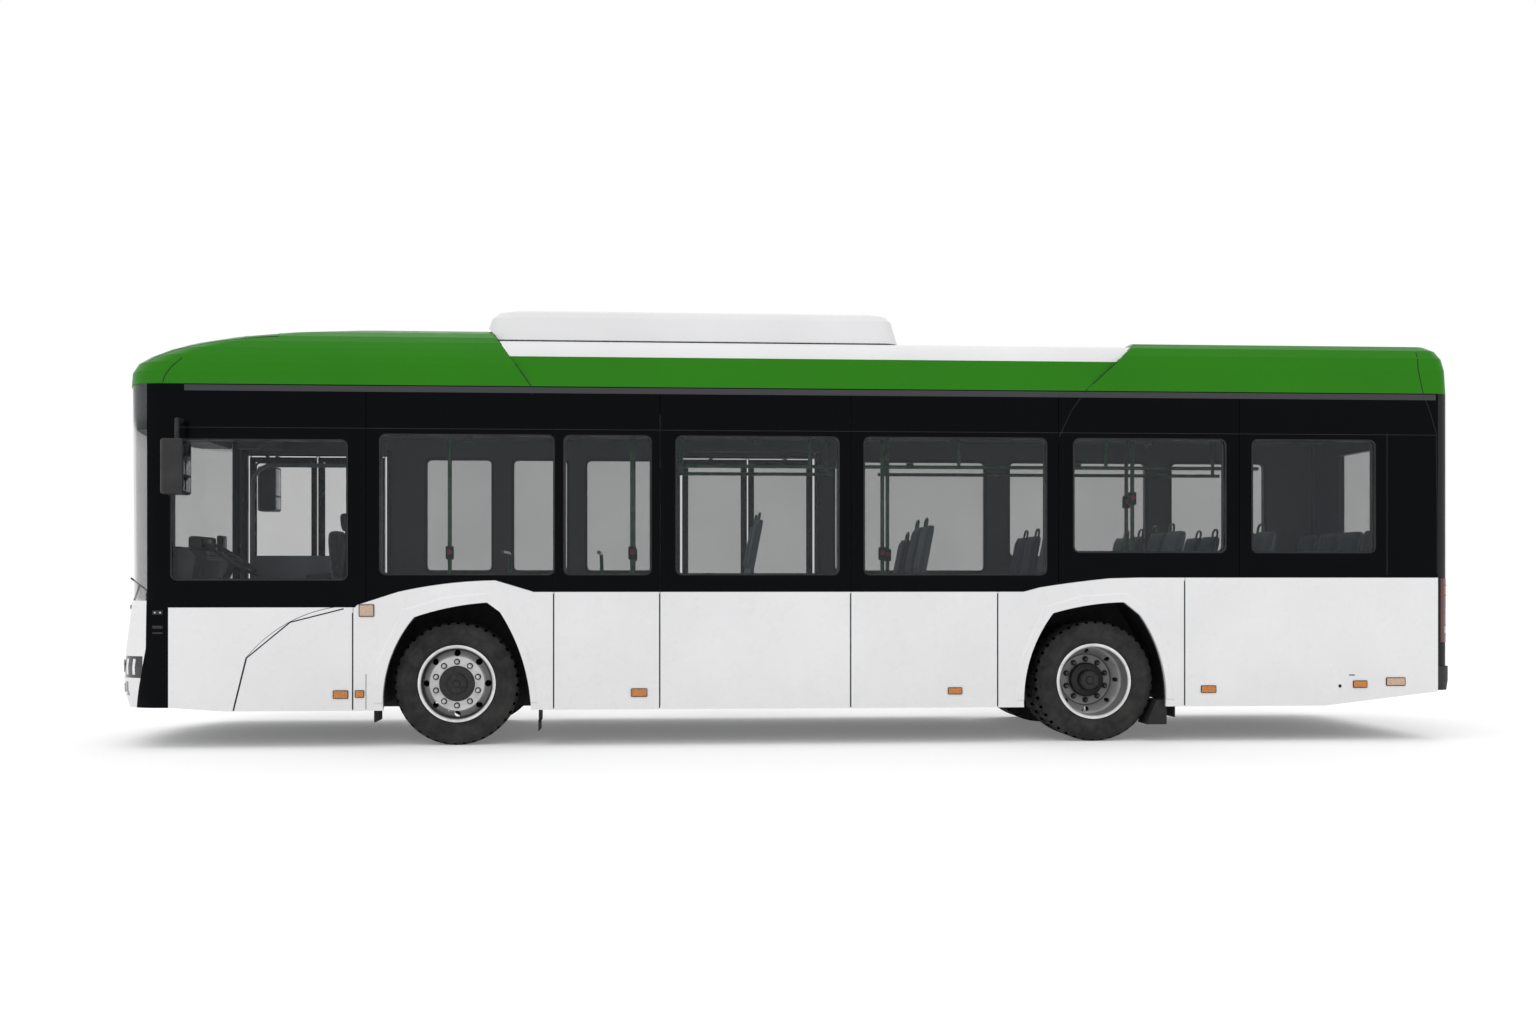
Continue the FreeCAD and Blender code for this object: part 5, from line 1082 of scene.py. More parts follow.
@dataclass
class Glazing(Trim):
    """Rubber seals and latches of the side windows."""

    face_y: float = 1.2752
    proud: float = 0.0022
    strip: float = 0.013
    corner: float = 0.038
    lining_y: float = 1.2140
    latch_y: float = 1.2135
    latched: float = 1.0
    left: Spans = (
        (-2.112, -0.817, 1.285, 2.334), (-0.556, 0.748, 1.326, 2.380), (0.839, 1.491, 1.326, 2.380),
        (1.699, 2.948, 1.326, 2.380), (3.160, 4.585, 1.326, 2.380), (4.817, 6.023, 1.503, 2.380),
        (6.252, 7.238, 1.503, 2.380))
    right: Spans = (
        (-0.560, 0.030, 1.366, 2.380), (0.230, 0.720, 1.366, 2.380), (0.900, 1.520, 1.366, 2.380),
        (3.200, 4.610, 1.366, 2.380), (4.850, 6.150, 1.503, 2.380), (6.400, 7.300, 1.503, 2.380))

    def build(self) -> None:
        """Builds the seals and the latches of the tilting windows."""
        self.frames("window_seals", "black_plastic", "rubber_seal", 0.0, self.face_y + self.proud, 0.006,
                    self.strip)
        self.frames("window_trims", "dark_trim", "dash_plastic", 0.004, self.lining_y, 0.010, 0.030)
        self.latches()

    def frames(self, name: str, slot: str, finish: str, overlap: float, y: float, depth: float,
               width: float) -> None:
        """Builds a frame round each side window.

        Args:
            name: The piece's name.
            slot: Its material slot, which is not used.
            finish: Its finish.
            overlap: How far the frame reaches over the window's edge.
            y: Distance of its outer face from the bus's middle.
            depth: How far it reaches inward of that face.
            width: Width of its strip.
        """
        mesh = new_mesh()
        for side, rows in ((Side.LEFT, self.left), (Side.RIGHT, self.right)):
            for start, end, sill, head in rows:
                low = (at(end) + overlap, sill + overlap)
                high = (at(start) - overlap, head - overlap)
                add_rounded_frame(mesh, low, high, side.value * y, -side.value * depth, width, self.corner)
        self.put(mesh, name, slot, finish)

    def latches(self) -> None:
        """Builds the latches at the head of the tilting windows."""
        mesh = new_mesh()
        for side, rows in ((Side.LEFT, self.left), (Side.RIGHT, self.right)):
            for start, end, _, head in rows:
                if end - start < self.latched:
                    continue
                x, y = at((start + end) / 2), side.value * self.latch_y
                for half, near, far, low, high in ((0.034, 0.0, 0.012, 0.040, 0.006),
                                                   (0.010, 0.012, 0.026, 0.062, 0.012)):
                    add_box(mesh, (x - half, y - side.value * near, head - low),
                            (x + half, y - side.value * far, head - high), 0.004)
        self.put(mesh, "window_latches", "black_plastic", "black_plastic")


@dataclass
class Lamps(Trim):
    """Light guides, projectors and segments on the lamps, and the marker lamps' rims."""

    far_x: float = 6.0
    guides: Tuple[float, ...] = (1.165, 1.222)
    guide_z: Tuple[float, float] = (0.560, 0.678)
    guide_wide: float = 0.024
    projectors: Tuple[Tuple[float, float, float], ...] = (
        (0.930, 0.618, 0.050), (1.060, 0.618, 0.050), (0.930, 0.452, 0.040), (1.070, 0.452, 0.036))
    tail_y: Tuple[float, float] = (1.128, 1.258)
    tail_rows: Tuple[Tuple[str, float, float], ...] = (
        ("amber_lens", 1.196, 0.080), ("white_lens", 0.880, 0.070))
    rim_gap: float = 0.001
    rim_y: float = 1.2815
    rim_deep: float = 0.0063
    rim_wide: float = 0.0045
    rim_corner: float = 0.003
    markers: Spans = (
        (-0.911, -0.806, 0.378, 0.431), (-0.746, -0.686, 0.385, 0.431), (1.349, 1.464, 0.382, 0.436),
        (3.816, 3.919, 0.389, 0.433), (5.835, 5.948, 0.391, 0.439), (7.070, 7.176, 0.425, 0.473),
        (7.340, 7.488, 0.440, 0.496), (-0.716, -0.611, 1.002, 1.086))
    pale: Spans = ((7.342, 7.486, 0.442, 0.494), (-0.714, -0.613, 1.004, 1.084))
    pale_y: Tuple[float, float] = (1.2800, 1.2842)

    def build(self) -> None:
        """Builds every lamp's pieces."""
        self.front()
        self.tail()
        self.marker_rims()
        self.pale_lenses()

    def front(self) -> None:
        """Builds the bright guides and the projectors of the head and fog lamps."""
        skin = Skin("front_lamps")
        guides, bezels, lenses = new_mesh(), new_mesh(), new_mesh()
        for side in Side:
            for y in self.guides:
                path = [(self.far_x, side.value * y, z) for z in self.guide_z]
                add_seam(guides, skin, path, (-1, 0, 0), self.guide_wide, 0.004, 0.015)
            for y, z, radius in self.projectors:
                spot = skin.under((self.far_x, side.value * y, z), (-1, 0, 0))
                if spot is not None:
                    place, normal = spot
                    add_turned(bezels, [(radius, -0.001), (radius, 0.004), (radius * 0.88, 0.006),
                                        (radius * 0.80, 0.001), (radius * 0.80, -0.001)], place, normal, 36)
                    add_turned(lenses, [(0.0, 0.0045), (radius * 0.45, 0.0036), (radius * 0.79, 0.0006),
                                        (radius * 0.79, -0.001)], place, normal, 36, closed=False)
        self.put(guides, "lamp_light_guides", "clear_plastic", "bright_guide")
        self.put(bezels, "lamp_bezels", "silver_wheel", "zinc_steel")
        self.put(lenses, "lamp_projectors", "clear_plastic", "reflector")

    def tail(self) -> None:
        """Builds the amber and clear segments of the tail lamps and the dark joints between them."""
        skin = Skin("tail_lamps")
        inner, outer = self.tail_y
        joints = new_mesh()
        for finish, middle, tall in self.tail_rows:
            mesh = new_mesh()
            for side in Side:
                for z, height, target in ((middle, tall, mesh), (middle - tall / 2, 0.005, joints),
                                          (middle + tall / 2, 0.005, joints)):
                    path = [(-self.far_x, side.value * inner, z), (-self.far_x, side.value * outer, z)]
                    add_seam(target, skin, path, (1, 0, 0), height, 0.002 if target is mesh else 0.003, 0.012)
            self.put(mesh, "tail_segment_" + finish, "amber_plastic", finish)
        self.put(joints, "tail_lamp_joints", "black_plastic", "sealer")

    def marker_rims(self) -> None:
        """Builds a dark rim round each side marker, reflector and repeater."""
        mesh = new_mesh()
        gap = self.rim_gap
        for side in Side:
            for start, end, low, high in self.markers:
                add_rounded_frame(mesh, (at(end) - gap, low - gap), (at(start) + gap, high + gap),
                                  side.value * self.rim_y, -side.value * self.rim_deep, self.rim_wide,
                                  self.rim_corner)
        self.put(mesh, "marker_rims", "black_plastic", "rubber_seal")

    def pale_lenses(self) -> None:
        """Builds the pale covers of the repeater and of the reflector at the rear."""
        mesh = new_mesh()
        for side in Side:
            for start, end, low, high in self.pale:
                inner, outer = (side.value * y for y in self.pale_y)
                add_box(mesh, (at(end), inner, low), (at(start), outer, high), 0.0012)
        self.put(mesh, "pale_lenses", "amber_plastic", "pale_reflector")


@dataclass
class PanelJoints(Trim):
    """Dark joints, painted highlight strips and small fittings on the roof, the band, the columns and the
    skirts.
    """

    above_z: float = 4.0
    beside_y: float = 2.0
    line: float = 0.006
    proud: float = 0.0014
    dome_line: Pairs = ((4.930, 1.190), (4.800, 1.155), (4.200, 1.125), (3.950, 1.100))
    dome_crossings: Tuple[float, ...] = (4.640, 4.210, 3.970)
    crossing_y: float = 1.110
    side_lines: Tuple[Pairs, ...] = (
        ((4.775, 2.770), (4.765, 2.810), (4.750, 2.840), (4.710, 2.895), (4.640, 2.960)),
        ((2.387, 3.290), (2.014, 2.764), (2.010, 2.700)),
        ((-2.792, 3.200), (-2.311, 2.764), (-2.196, 2.605), (-2.133, 2.470), (-2.100, 2.400)),
        ((-5.020, 3.100), (-5.012, 2.954), (-5.048, 2.760), (-5.105, 2.614), (-5.153, 2.450),
         (-5.161, 1.916), (-5.161, 1.325)),
        ((-4.750, 2.445), (-4.750, 1.315)))
    # A painted highlight: the grey strip on the black band's rounded top edge, under the roof.
    strip_line: Pairs = ((4.860, 2.7335), (-5.150, 2.7335))
    strip_wide: float = 0.045
    # A joint along the black band, drawn in a grey lighter than the band as a painted highlight on its edge.
    band_line: Pairs = ((4.690, 2.433), (-5.150, 2.433))
    plates: Pairs = ((1.030, 0.030), (0.920, 0.022), (0.875, 0.012))
    plate_x: Tuple[float, float] = (4.775, 4.850)
    screw_x: Tuple[float, float] = (4.792, 4.832)
    shut_x: Dict[Side, Tuple[float, ...]] = field(default_factory=lambda: {
        Side.LEFT: (3.359, 1.026, -0.456, 1.839, -3.108, -1.614), Side.RIGHT: (1.839, -3.108)})
    skirt_z: Tuple[float, float] = (0.24, 1.32)
    seal_wide: float = 0.009
    beside_gap: float = 0.0035
    flap_line: Pairs = ((3.344, 1.080), (3.834, 0.955), (4.158, 0.685), (4.266, 0.240))
    flap_y: Tuple[float, float] = (1.00, 1.235)
    flaps: Tuple[Tuple[float, ...], ...] = (        # front X, back X, low z, high z and lean of the foot
        (-2.890, -2.975, 0.135, 0.330, 0.08), (1.962, 1.952, 0.115, 0.200, 0.0))
    slits: Tuple[Tuple[Pairs, float], ...] = (
        (((3.262, 0.560), (3.262, 0.290)), 0.004), (((-4.440, 0.522), (-4.486, 0.522)), 0.008))
    lock: Tuple[float, float] = (-4.365, 0.435)

    def build(self) -> None:
        """Builds the joints and the strips."""
        self.roof_joints()
        self.strips()
        self.column_fittings()
        self.skirt_joints()
        self.mud_flaps()
        self.skirt_fittings()

    def lay(self, mesh: bmesh.types.BMesh, skin: Skin, side: Side, points: Pairs, *sizes: float) -> None:
        """Lays a strip on a surface, thrown on it from beside the bus.

        Args:
            mesh: The bmesh.
            skin: The surface.
            side: Side of the bus.
            points: X and Z of the strip's corners.
            *sizes: Its width, how proud it stands and its longest step.
        """
        path = [(x, side.value * self.beside_y, z) for x, z in points]
        add_seam(mesh, skin, path, (0, -side.value, 0), *sizes)

    def stud(self, mesh: bmesh.types.BMesh, skin: Skin, side: Side, place: Tuple[float, float], foot: float,
             top: float, radius: float, segments: int) -> None:
        """Sets a short rod on a surface.

        Args:
            mesh: The bmesh.
            skin: The surface.
            side: Side of the bus.
            place: X and Z of the rod.
            foot: Height of its foot over the surface.
            top: Height of its top over the surface.
            radius: Its radius.
            segments: Its sides.
        """
        spot = skin.under((place[0], side.value * self.beside_y, place[1]), (0, -side.value, 0))
        if spot is not None:
            add_rod(mesh, spot[0] + spot[1] * foot, spot[0] + spot[1] * top, radius, segments)

    def roof_joints(self) -> None:
        """Builds the joints of the roof caps."""
        skin = Skin("roof_front", "roof_rear", "roof_middle", "roof_rails", "glazing_bands", "rear_wall")
        mesh = new_mesh()
        for side in Side:
            path = [(x, side.value * y, self.above_z) for x, y in self.dome_line]
            add_seam(mesh, skin, path, (0, 0, -1), self.line, self.proud, 0.03)
            for points in self.side_lines:
                self.lay(mesh, skin, side, points, self.line, self.proud, 0.03)
        for x in self.dome_crossings:
            path = [(x, y, self.above_z) for y in (-self.crossing_y, self.crossing_y)]
            add_seam(mesh, skin, path, (0, 0, -1), self.line, self.proud, 0.06)
        self.put(mesh, "roof_joints", "dark_trim", "dark_line")

    def strips(self) -> None:
        """Builds the grey strip under the roof, a painted highlight on the black band's rounded top edge, and
        the fine joint along the black band, drawn lighter than the band as a painted highlight on its edge.
        """
        skin = Skin("glazing_bands", "roof_rails", "roof_front", "roof_rear")
        strip, joint_highlight = new_mesh(), new_mesh()
        for side in Side:
            self.lay(strip, skin, side, self.strip_line, self.strip_wide, 0.0015, 0.25)
            # The band's joint, lighter than the band: a painted highlight on its edge.
            self.lay(joint_highlight, skin, side, self.band_line, 0.003, 0.0008, 0.25)
        self.put(strip, "roof_edge_strips", "dark_trim", "grey_strip")
        self.put(joint_highlight, "band_joints", "dark_trim", "sealer")

    def column_fittings(self) -> None:
        """Builds the hinge plate with its screws and the latch on each corner column."""
        skin = Skin("front_columns")
        plates, screws = new_mesh(), new_mesh()
        for side in Side:
            for z, wide in self.plates:
                self.lay(plates, skin, side, tuple((x, z) for x in self.plate_x), wide, 0.006, 0.02)
            for x in self.screw_x:
                self.stud(screws, skin, side, (x, self.plates[0][0]), 0.004, 0.0085, 0.0065, 12)
        self.put(plates, "column_hinge_plates", "black_plastic", "black_plastic")
        self.put(screws, "column_screws", "steel", "zinc_steel")

    def skirt_joints(self) -> None:
        """Builds the sealed edges of the skirts' panel joints and of the service flap."""
        skin = Skin("skirt_panels")
        mesh = new_mesh()
        for side in Side:
            for x in self.shut_x[side]:
                points = tuple((x + self.beside_gap, z) for z in self.skirt_z)
                self.lay(mesh, skin, side, points, self.seal_wide)
        points = tuple((x - self.beside_gap, z) for x, z in self.flap_line)
        self.lay(mesh, skin, Side.LEFT, points, self.seal_wide)
        self.put(mesh, "skirt_joints", "dark_trim", "dark_line")

    def mud_flaps(self) -> None:
        """Builds the rubber flaps behind the wheels."""
        mesh = new_mesh()
        for side in Side:
            inner, outer = (side.value * y for y in self.flap_y)
            for front, back, low, high, lean in self.flaps:
                for vert in add_box(mesh, (back, inner, low), (front, outer, high), 0.004):
                    if vert.co.z < (low + high) / 2:
                        vert.co.x += lean * (vert.co.x - back) / (front - back)
        self.put(mesh, "mud_flaps", "black_plastic", "rubber_seal")

    def skirt_fittings(self) -> None:
        """Builds the key lock, the slot and the slit in the skirts."""
        skin = Skin("skirt_panels")
        mesh = new_mesh()
        for side in Side:
            for points, wide in self.slits:
                self.lay(mesh, skin, side, points, wide)
            self.stud(mesh, skin, side, self.lock, -0.001, 0.002, 0.013, 20)
        self.put(mesh, "skirt_fittings", "dark_trim", "dark_line")


@dataclass
class DoorTrims(Trim):
    """Glass seals and rubber edges on the four door leaves."""

    face_y: float = -1.2645
    edge: float = 0.010
    lap: float = 0.010
    seal: Point = (0.0045, 0.018, 0.030)            # depth, width and corner of the glass seal
    foot: Point = (0.012, 0.002, 0.022)             # inset from the edges, low and high z of the sweep
    thick: float = 0.004

    def build(self) -> None:
        """Builds each leaf's seal and edges, which move with the leaf."""
        for door in ("door1", "door2"):
            for place in ("front", "rear"):
                self.leaf("%s_%s" % (door, place))

    def leaf(self, tag: str) -> None:
        """Builds one leaf's trims.

        Args:
            tag: Door and place of the leaf.
        """
        mesh = new_mesh()
        lap, outer, inner = self.lap, self.face_y, self.face_y + self.thick
        glass_low, glass_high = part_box("glass_" + tag)
        low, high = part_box("leaf_" + tag)
        add_rounded_frame(mesh, (glass_low[0] + lap, glass_low[2] + lap),
                          (glass_high[0] - lap, glass_high[2] - lap), self.face_y, *self.seal)
        for x, inward in ((low[0], 1), (high[0], -1)):
            add_box(mesh, (x, outer, low[2] + 0.004), (x + inward * self.edge, inner, high[2] - 0.004), 0.001)
        inset, low_z, high_z = self.foot
        add_box(mesh, (low[0] + inset, outer, low[2] + low_z),
                (high[0] - inset, inner, low[2] + high_z), 0.001)
        self.put(mesh, "door_seals_" + tag, "black_plastic", "rubber_seal", tag + "_leaf")


@dataclass
class Mirrors(Trim):
    """Mirror glasses and the seams of the mirror heads."""

    back_x: float = 4.548
    near_y: float = 1.335
    wide: float = 0.235
    low_z: float = 1.913
    panes: Pairs = ((0.022, 0.130), (0.146, 0.390))
    margin: float = 0.022
    rim: float = 0.007

    def build(self) -> None:
        """Builds a main glass and a wide-angle glass in each head."""
        mesh, rims = new_mesh(), new_mesh()
        face, rim = self.back_x + 0.001, self.rim
        for side in Side:
            y0 = side.value * (self.near_y + self.margin)
            y1 = side.value * (self.near_y + self.wide - self.margin)
            for low, high in self.panes:
                z0, z1 = self.low_z + low, self.low_z + high
                add_box(mesh, (self.back_x - 0.0025, y0, z0), (face, y1, z1), 0.001)
                add_box(rims, (self.back_x - 0.0018, y0 - side.value * rim, z0 - rim),
                        (face, y1 + side.value * rim, z1 + rim), 0.0015)
        self.put(mesh, "mirror_glasses", "black_plastic", "mirror_glass")
        self.put(rims, "mirror_rims", "black_plastic", "rubber_seal")


# ---------------------------------------------------------------- cabin

@dataclass
class SeatPlace:
    """Where one seat stands: X of its back's foot, Y of its middle and z of the floor under it."""

    x: float
    y: float
    floor: float


@dataclass
class Seats(Trim):
    """Padded cushions, back pads and grips of the passengers' seats."""

    lining_y: float = 1.215
    pitch: float = 0.440
    first: float = 0.230
    wide: float = 0.370
    pan: float = 0.410
    back: float = 0.850
    thick: float = 0.024
    cells: Tuple[int, int] = (12, 10)
    hem: float = 0.012
    roll: float = 0.045
    channel_at: float = 0.22
    channel_deep: float = 0.004
    channel_wide: float = 0.009
    waist: float = 0.010
    rows: Tuple[Tuple[float, int, int, float], ...] = (
        (2.290, 1, 2, 0.900), (3.640, 1, 2, 0.860), (3.760, -1, 1, 0.800), (4.650, 1, 1, 0.840),
        (4.860, -1, 2, 0.820), (5.660, 1, 2, 0.820), (5.800, -1, 2, 0.820), (6.400, 1, 2, 0.820),
        (6.480, -1, 2, 0.820))
    bench_station: float = 7.560
    bench_count: int = 5
    cover_z: float = 1.180

    def places(self) -> List[SeatPlace]:
        """Returns every seat's place."""
        found = []
        for station, side, abreast, floor in self.rows:
            for index in range(abreast):
                y = side * (self.lining_y - self.first - index * self.pitch)
                found.append(SeatPlace(at(station), y, floor))
        pitch = 2 * (self.lining_y - 0.060) / self.bench_count
        for index in range(self.bench_count):
            found.append(SeatPlace(at(self.bench_station),
                                   -self.lining_y + 0.060 + pitch * (index + 0.5),
                                   self.cover_z - self.pan + 0.080))
        return found

    def build(self) -> None:
        """Builds the cushions, one piece a seat, and the grips of all but the bench seats."""
        places = self.places()
        for number, place in enumerate(places):
            self.cushion(number, place)
        self.grips(places)

    def sitting_line(self, place: SeatPlace) -> List[Vector]:
        """The side line of the sitting surface, from the seat's lip to the top of its back."""
        pan = place.floor + self.pan
        top = place.floor + self.back
        points = [(0.420, pan - 0.010), (0.360, pan), (0.230, pan - 0.011), (0.100, pan - 0.022),
                  (0.046, pan - 0.002), (0.020, pan + 0.048), (-0.006, pan + 0.180), (-0.030, pan + 0.300),
                  (-0.056, top)]
        return [Vector((place.x + ahead, place.y, z)) for ahead, z in points]

    def cushion(self, number: int, place: SeatPlace) -> None:
        """Builds one seat's pan and back pads: crowned, pulled in at the seams.

        Args:
            number: Number of the seat; the first stands for all the CAD pads.
            place: Where it stands.
        """
        mesh = new_mesh()
        line = self.sitting_line(place)
        for start, end in ((0, 4), (5, 8)):
            self.pad(mesh, line[start:end + 1])
        piece = self.put(mesh, "seat_cushion_%02d" % (number + 1), "seat_fabric", "seat_weave",
                         smooth=50.0, replaces=["seat_pads"] if number == 0 else [])

    def pad(self, mesh: bmesh.types.BMesh, line: List[Vector]) -> None:
        """Adds one pad that lies on a line of the sitting surface.

        Args:
            mesh: The bmesh.
            line: The surface's side line under it.
        """
        lengths = [0.0]
        for before, after in zip(line, line[1:]):
            lengths.append(lengths[-1] + (after - before).length)
        total = lengths[-1]
        lift: Dict[bmesh.types.BMVert, Vector] = {}
        rows, columns = self.cells
        for vert in bmesh.ops.create_grid(mesh, x_segments=rows, y_segments=columns, size=0.5)["verts"]:
            u, v = vert.co.x + 0.5, vert.co.y + 0.5
            along = self.hem + u * (total - 2 * self.hem)
            index = max(i for i in range(len(line) - 1) if lengths[i] <= along + 1e-9)
            share = (along - lengths[index]) / (lengths[index + 1] - lengths[index])
            point = line[index].lerp(line[index + 1], share)
            tangent = (line[index + 1] - line[index]).normalized()
            normal = Vector((tangent.z, 0, -tangent.x))
            if max(normal.x, normal.z, key=abs) < 0:
                normal = -normal
            edge, side = min(u, 1 - u) * total, min(v, 1 - v) * self.wide
            crown = min(1.0, edge / self.roll) ** 0.5 * min(1.0, side / self.roll) ** 0.5
            off_channel = abs(abs(v - 0.5) - self.channel_at) * self.wide
            channel = self.channel_deep * max(0.0, 1.0 - off_channel / self.channel_wide)
            waist = 1.0 - self.waist * (1 - abs(2 * u - 1))
            vert.co = Vector((point.x, line[0].y + (v - 0.5) * self.wide * waist, point.z)) + normal * 0.0004
            lift[vert] = normal * (0.0010 + (self.thick - channel) * crown)
        raise_copy(mesh, lift)

    def grips(self, places: List[SeatPlace]) -> None:
        """Builds the loop grips on the seats' shoulders."""
        mesh = new_mesh()
        for place in places[:-self.bench_count]:
            top = place.floor + self.back
            x = place.x - 0.062
            side = -1 if place.y > 0 else 1
            y = place.y + side * 0.175
            far = y - side * 0.115
            loop = [(x + 0.004, y, top - 0.050), (x - 0.012, y, top + 0.060), (x - 0.012, far, top + 0.060),
                    (x + 0.004, far, top - 0.030)]
            bent_tube(mesh, loop, 0.010, 0.045)
        self.put(mesh, "seat_grips", "green_tube", "green_tube")


@dataclass
class Rails(Trim):
    """Stop buttons, their cases and flanges on the cabin's poles."""

    poles: Tuple[Tuple[float, float, float], ...] = (
        (-0.144, 0.430, 0.350), (1.340, 0.430, 0.350), (1.340, -0.430, 0.350), (3.431, 0.310, 0.350),
        (3.581, -0.430, 0.350), (5.568, 0.310, 0.820), (5.700, -0.310, 0.820))
    radius: float = 0.017
    ceiling_z: float = 2.560
    button_height: float = 1.150

    def build(self) -> None:
        """Builds the poles' flanges and the stop buttons."""
        flanges, cases, buttons = new_mesh(), new_mesh(), new_mesh()
        bore = self.radius + 0.0006
        for station, y, floor in self.poles:
            x = at(station)
            for z, up in ((floor + 0.001, 1), (self.ceiling_z - 0.001, -1)):
                add_turned(flanges, [(bore, 0.0), (0.040, 0.0), (0.040, up * 0.004), (0.024, up * 0.012),
                                     (bore, up * 0.020)], (x, y, z), axis=(0, 0, 1), steps=24)
            z = floor + self.button_height
            add_box(cases, (x - 0.032, y - 0.024, z - 0.055), (x + 0.032, y + 0.024, z + 0.055), 0.010, 3)
            z += 0.006
            for side in (1, -1):
                add_rod(buttons, (x, y + side * 0.022, z), (x, y + side * 0.030, z), 0.019, 20, 0.016)
        self.put(flanges, "pole_flanges", "black_plastic", "black_plastic")
        self.put(cases, "stop_button_cases", "black_plastic", "dash_plastic")
        self.put(buttons, "stop_buttons", "red_plastic", "button_red")


@dataclass(frozen=True)
class Brick:
    """A softened box of the cab: its reach in X, in Y beside the driver and in Z, and its edges."""

    x: Tuple[float, float]
    y: Tuple[float, float]
    z: Tuple[float, float]
    bevel: float
    segments: int = 2

    def add(self, mesh: bmesh.types.BMesh, beside: float, above: float = 0.0) -> List[bmesh.types.BMVert]:
        """Adds the box.

        Args:
            mesh: The bmesh.
            beside: Y that its own Y is measured from.
            above: Z that its own Z is measured from.

        Returns:
            Its vertices.
        """
        low, high = zip(self.x, [beside + y for y in self.y], [above + z for z in self.z])
        return add_box(mesh, low, high, self.bevel, self.segments)


@dataclass(frozen=True)
class Cushion:
    """A padded piece of the driver's seat, before it leans."""

    name: str
    x: Tuple[float, float]
    half_wide: float
    z: Tuple[float, float]
    crown: float
    channels: Tuple[float, ...] = ()
    lean: float = 0.0


@dataclass
class Cab(Trim):
    """The driver's instruments, seat frame and seat cushions."""

    driver_y: float = 0.640
    floor_z: float = 0.650
    case: Tuple[Brick, ...] = (
        Brick((4.610, 4.700), (-0.250, 0.250), (1.515, 1.620), 0.022, 3),
        Brick((4.585, 4.625), (-0.460, -0.290), (1.500, 1.640), 0.012, 3))
    screens: Tuple[Brick, ...] = (
        Brick((4.606, 4.611), (-0.200, 0.200), (1.535, 1.603), 0.003),
        Brick((4.581, 4.586), (-0.445, -0.305), (1.518, 1.622), 0.003))
    switch: Brick = Brick((4.553, 4.572), (-0.017, 0.017), (-0.014, 0.014), 0.003)
    switch_rows: int = 2
    switches_abreast: int = 9
    boss_centre: Tuple[float, float] = (4.405, 1.440)
    boss_lean: float = -34.0
    boss: Pairs = ((0.0, 0.032), (0.040, 0.030), (0.066, 0.020), (0.072, 0.008), (0.064, 0.0), (0.0, 0.0))
    base: Brick = Brick((3.660, 3.955), (-0.165, 0.165), (0.0, 0.050), 0.012)
    bellow: Brick = Brick((3.672, 3.943), (-0.150, 0.150), (0.0, 0.054), 0.024, 3)
    bellows: int = 5
    bellow_foot: float = 0.052
    bellow_pitch: float = 0.058
    pan: Brick = Brick((3.640, 4.040), (-0.215, 0.215), (0.345, 0.408), 0.022, 3)
    shell: Brick = Brick((3.540, 3.580), (-0.225, 0.225), (0.420, 0.950), 0.018, 3)
    arm_rest: Brick = Brick((3.600, 3.900), (-0.262, -0.222), (0.640, 0.690), 0.016, 3)
    pivot_x: float = 3.600
    shell_lean: float = -7.0
    arm_lean: float = 4.0
    cushions: Tuple[Cushion, ...] = (
        Cushion("cushion", (3.635, 4.085), 0.238, (0.410, 0.500), 0.020, (-0.52, 0.52)),
        Cushion("back", (3.290, 3.850), 0.232, (0.700, 0.790), 0.022, (-0.50, 0.50), 97.0),
        Cushion("head_rest", (3.450, 3.595), 0.126, (1.055, 1.120), 0.012, (), 97.0))

    def build(self) -> None:
        """Builds the cab's pieces."""
        self.instruments()
        self.wheel_boss()
        self.seat_frame()
        self.seat_cushions()

    def instruments(self) -> None:
        """Builds the binnacle, its blank screens and the rocker switches."""
        case, screens, switches = new_mesh(), new_mesh(), new_mesh()
        for mesh, bricks in ((case, self.case), (screens, self.screens)):
            for brick in bricks:
                brick.add(mesh, self.driver_y)
        for row in range(self.switch_rows):
            x0, x1 = (x + row * 0.008 for x in self.switch.x)
            for index in range(self.switches_abreast):
                replace(self.switch, x=(x0, x1)).add(switches, self.driver_y - 0.200 + index * 0.050,
                                                     1.488 - row * 0.040)
        self.put(case, "instrument_binnacle", "dark_trim", "dash_plastic")
        self.put(screens, "instrument_screens", "glass", "black_gloss")
        self.put(switches, "rocker_switches", "dark_trim", "ticket_case")

    def wheel_boss(self) -> None:
        """Builds the steering wheel's padded boss."""
        mesh = new_mesh()
        x, z = self.boss_centre
        normal = Matrix.Rotation(math.radians(self.boss_lean), 4, "Y") @ Vector((0, 0, 1))
        add_turned(mesh, self.boss, (x, self.driver_y, z), axis=normal, steps=32, closed=False)
        self.put(mesh, "steering_wheel_boss", "black_plastic", "dash_plastic")

    def seat_frame(self) -> None:
        """Builds the driver's seat shell, its bellows, arm rest and head rest stalks."""
        mesh = new_mesh()
        y, floor = self.driver_y, self.floor_z
        self.base.add(mesh, y, floor)
        for step in range(self.bellows):
            self.bellow.add(mesh, y, floor + self.bellow_foot + step * self.bellow_pitch)
        self.pan.add(mesh, y, floor)
        for brick, lean in ((self.shell, self.shell_lean), (self.arm_rest, self.arm_lean)):
            bmesh.ops.rotate(mesh, verts=brick.add(mesh, y, floor),
                             cent=(self.pivot_x, y, floor + brick.z[0]),
                             matrix=Matrix.Rotation(math.radians(lean), 3, "Y"))
        for beside in (y - 0.050, y + 0.050):
            add_rod(mesh, (3.530, beside, floor + 0.940), (3.518, beside, floor + 1.070), 0.007, 12)
        self.put(mesh, "driver_seat_frame", "dark_trim", "dash_plastic", replaces=["driver_seat"])

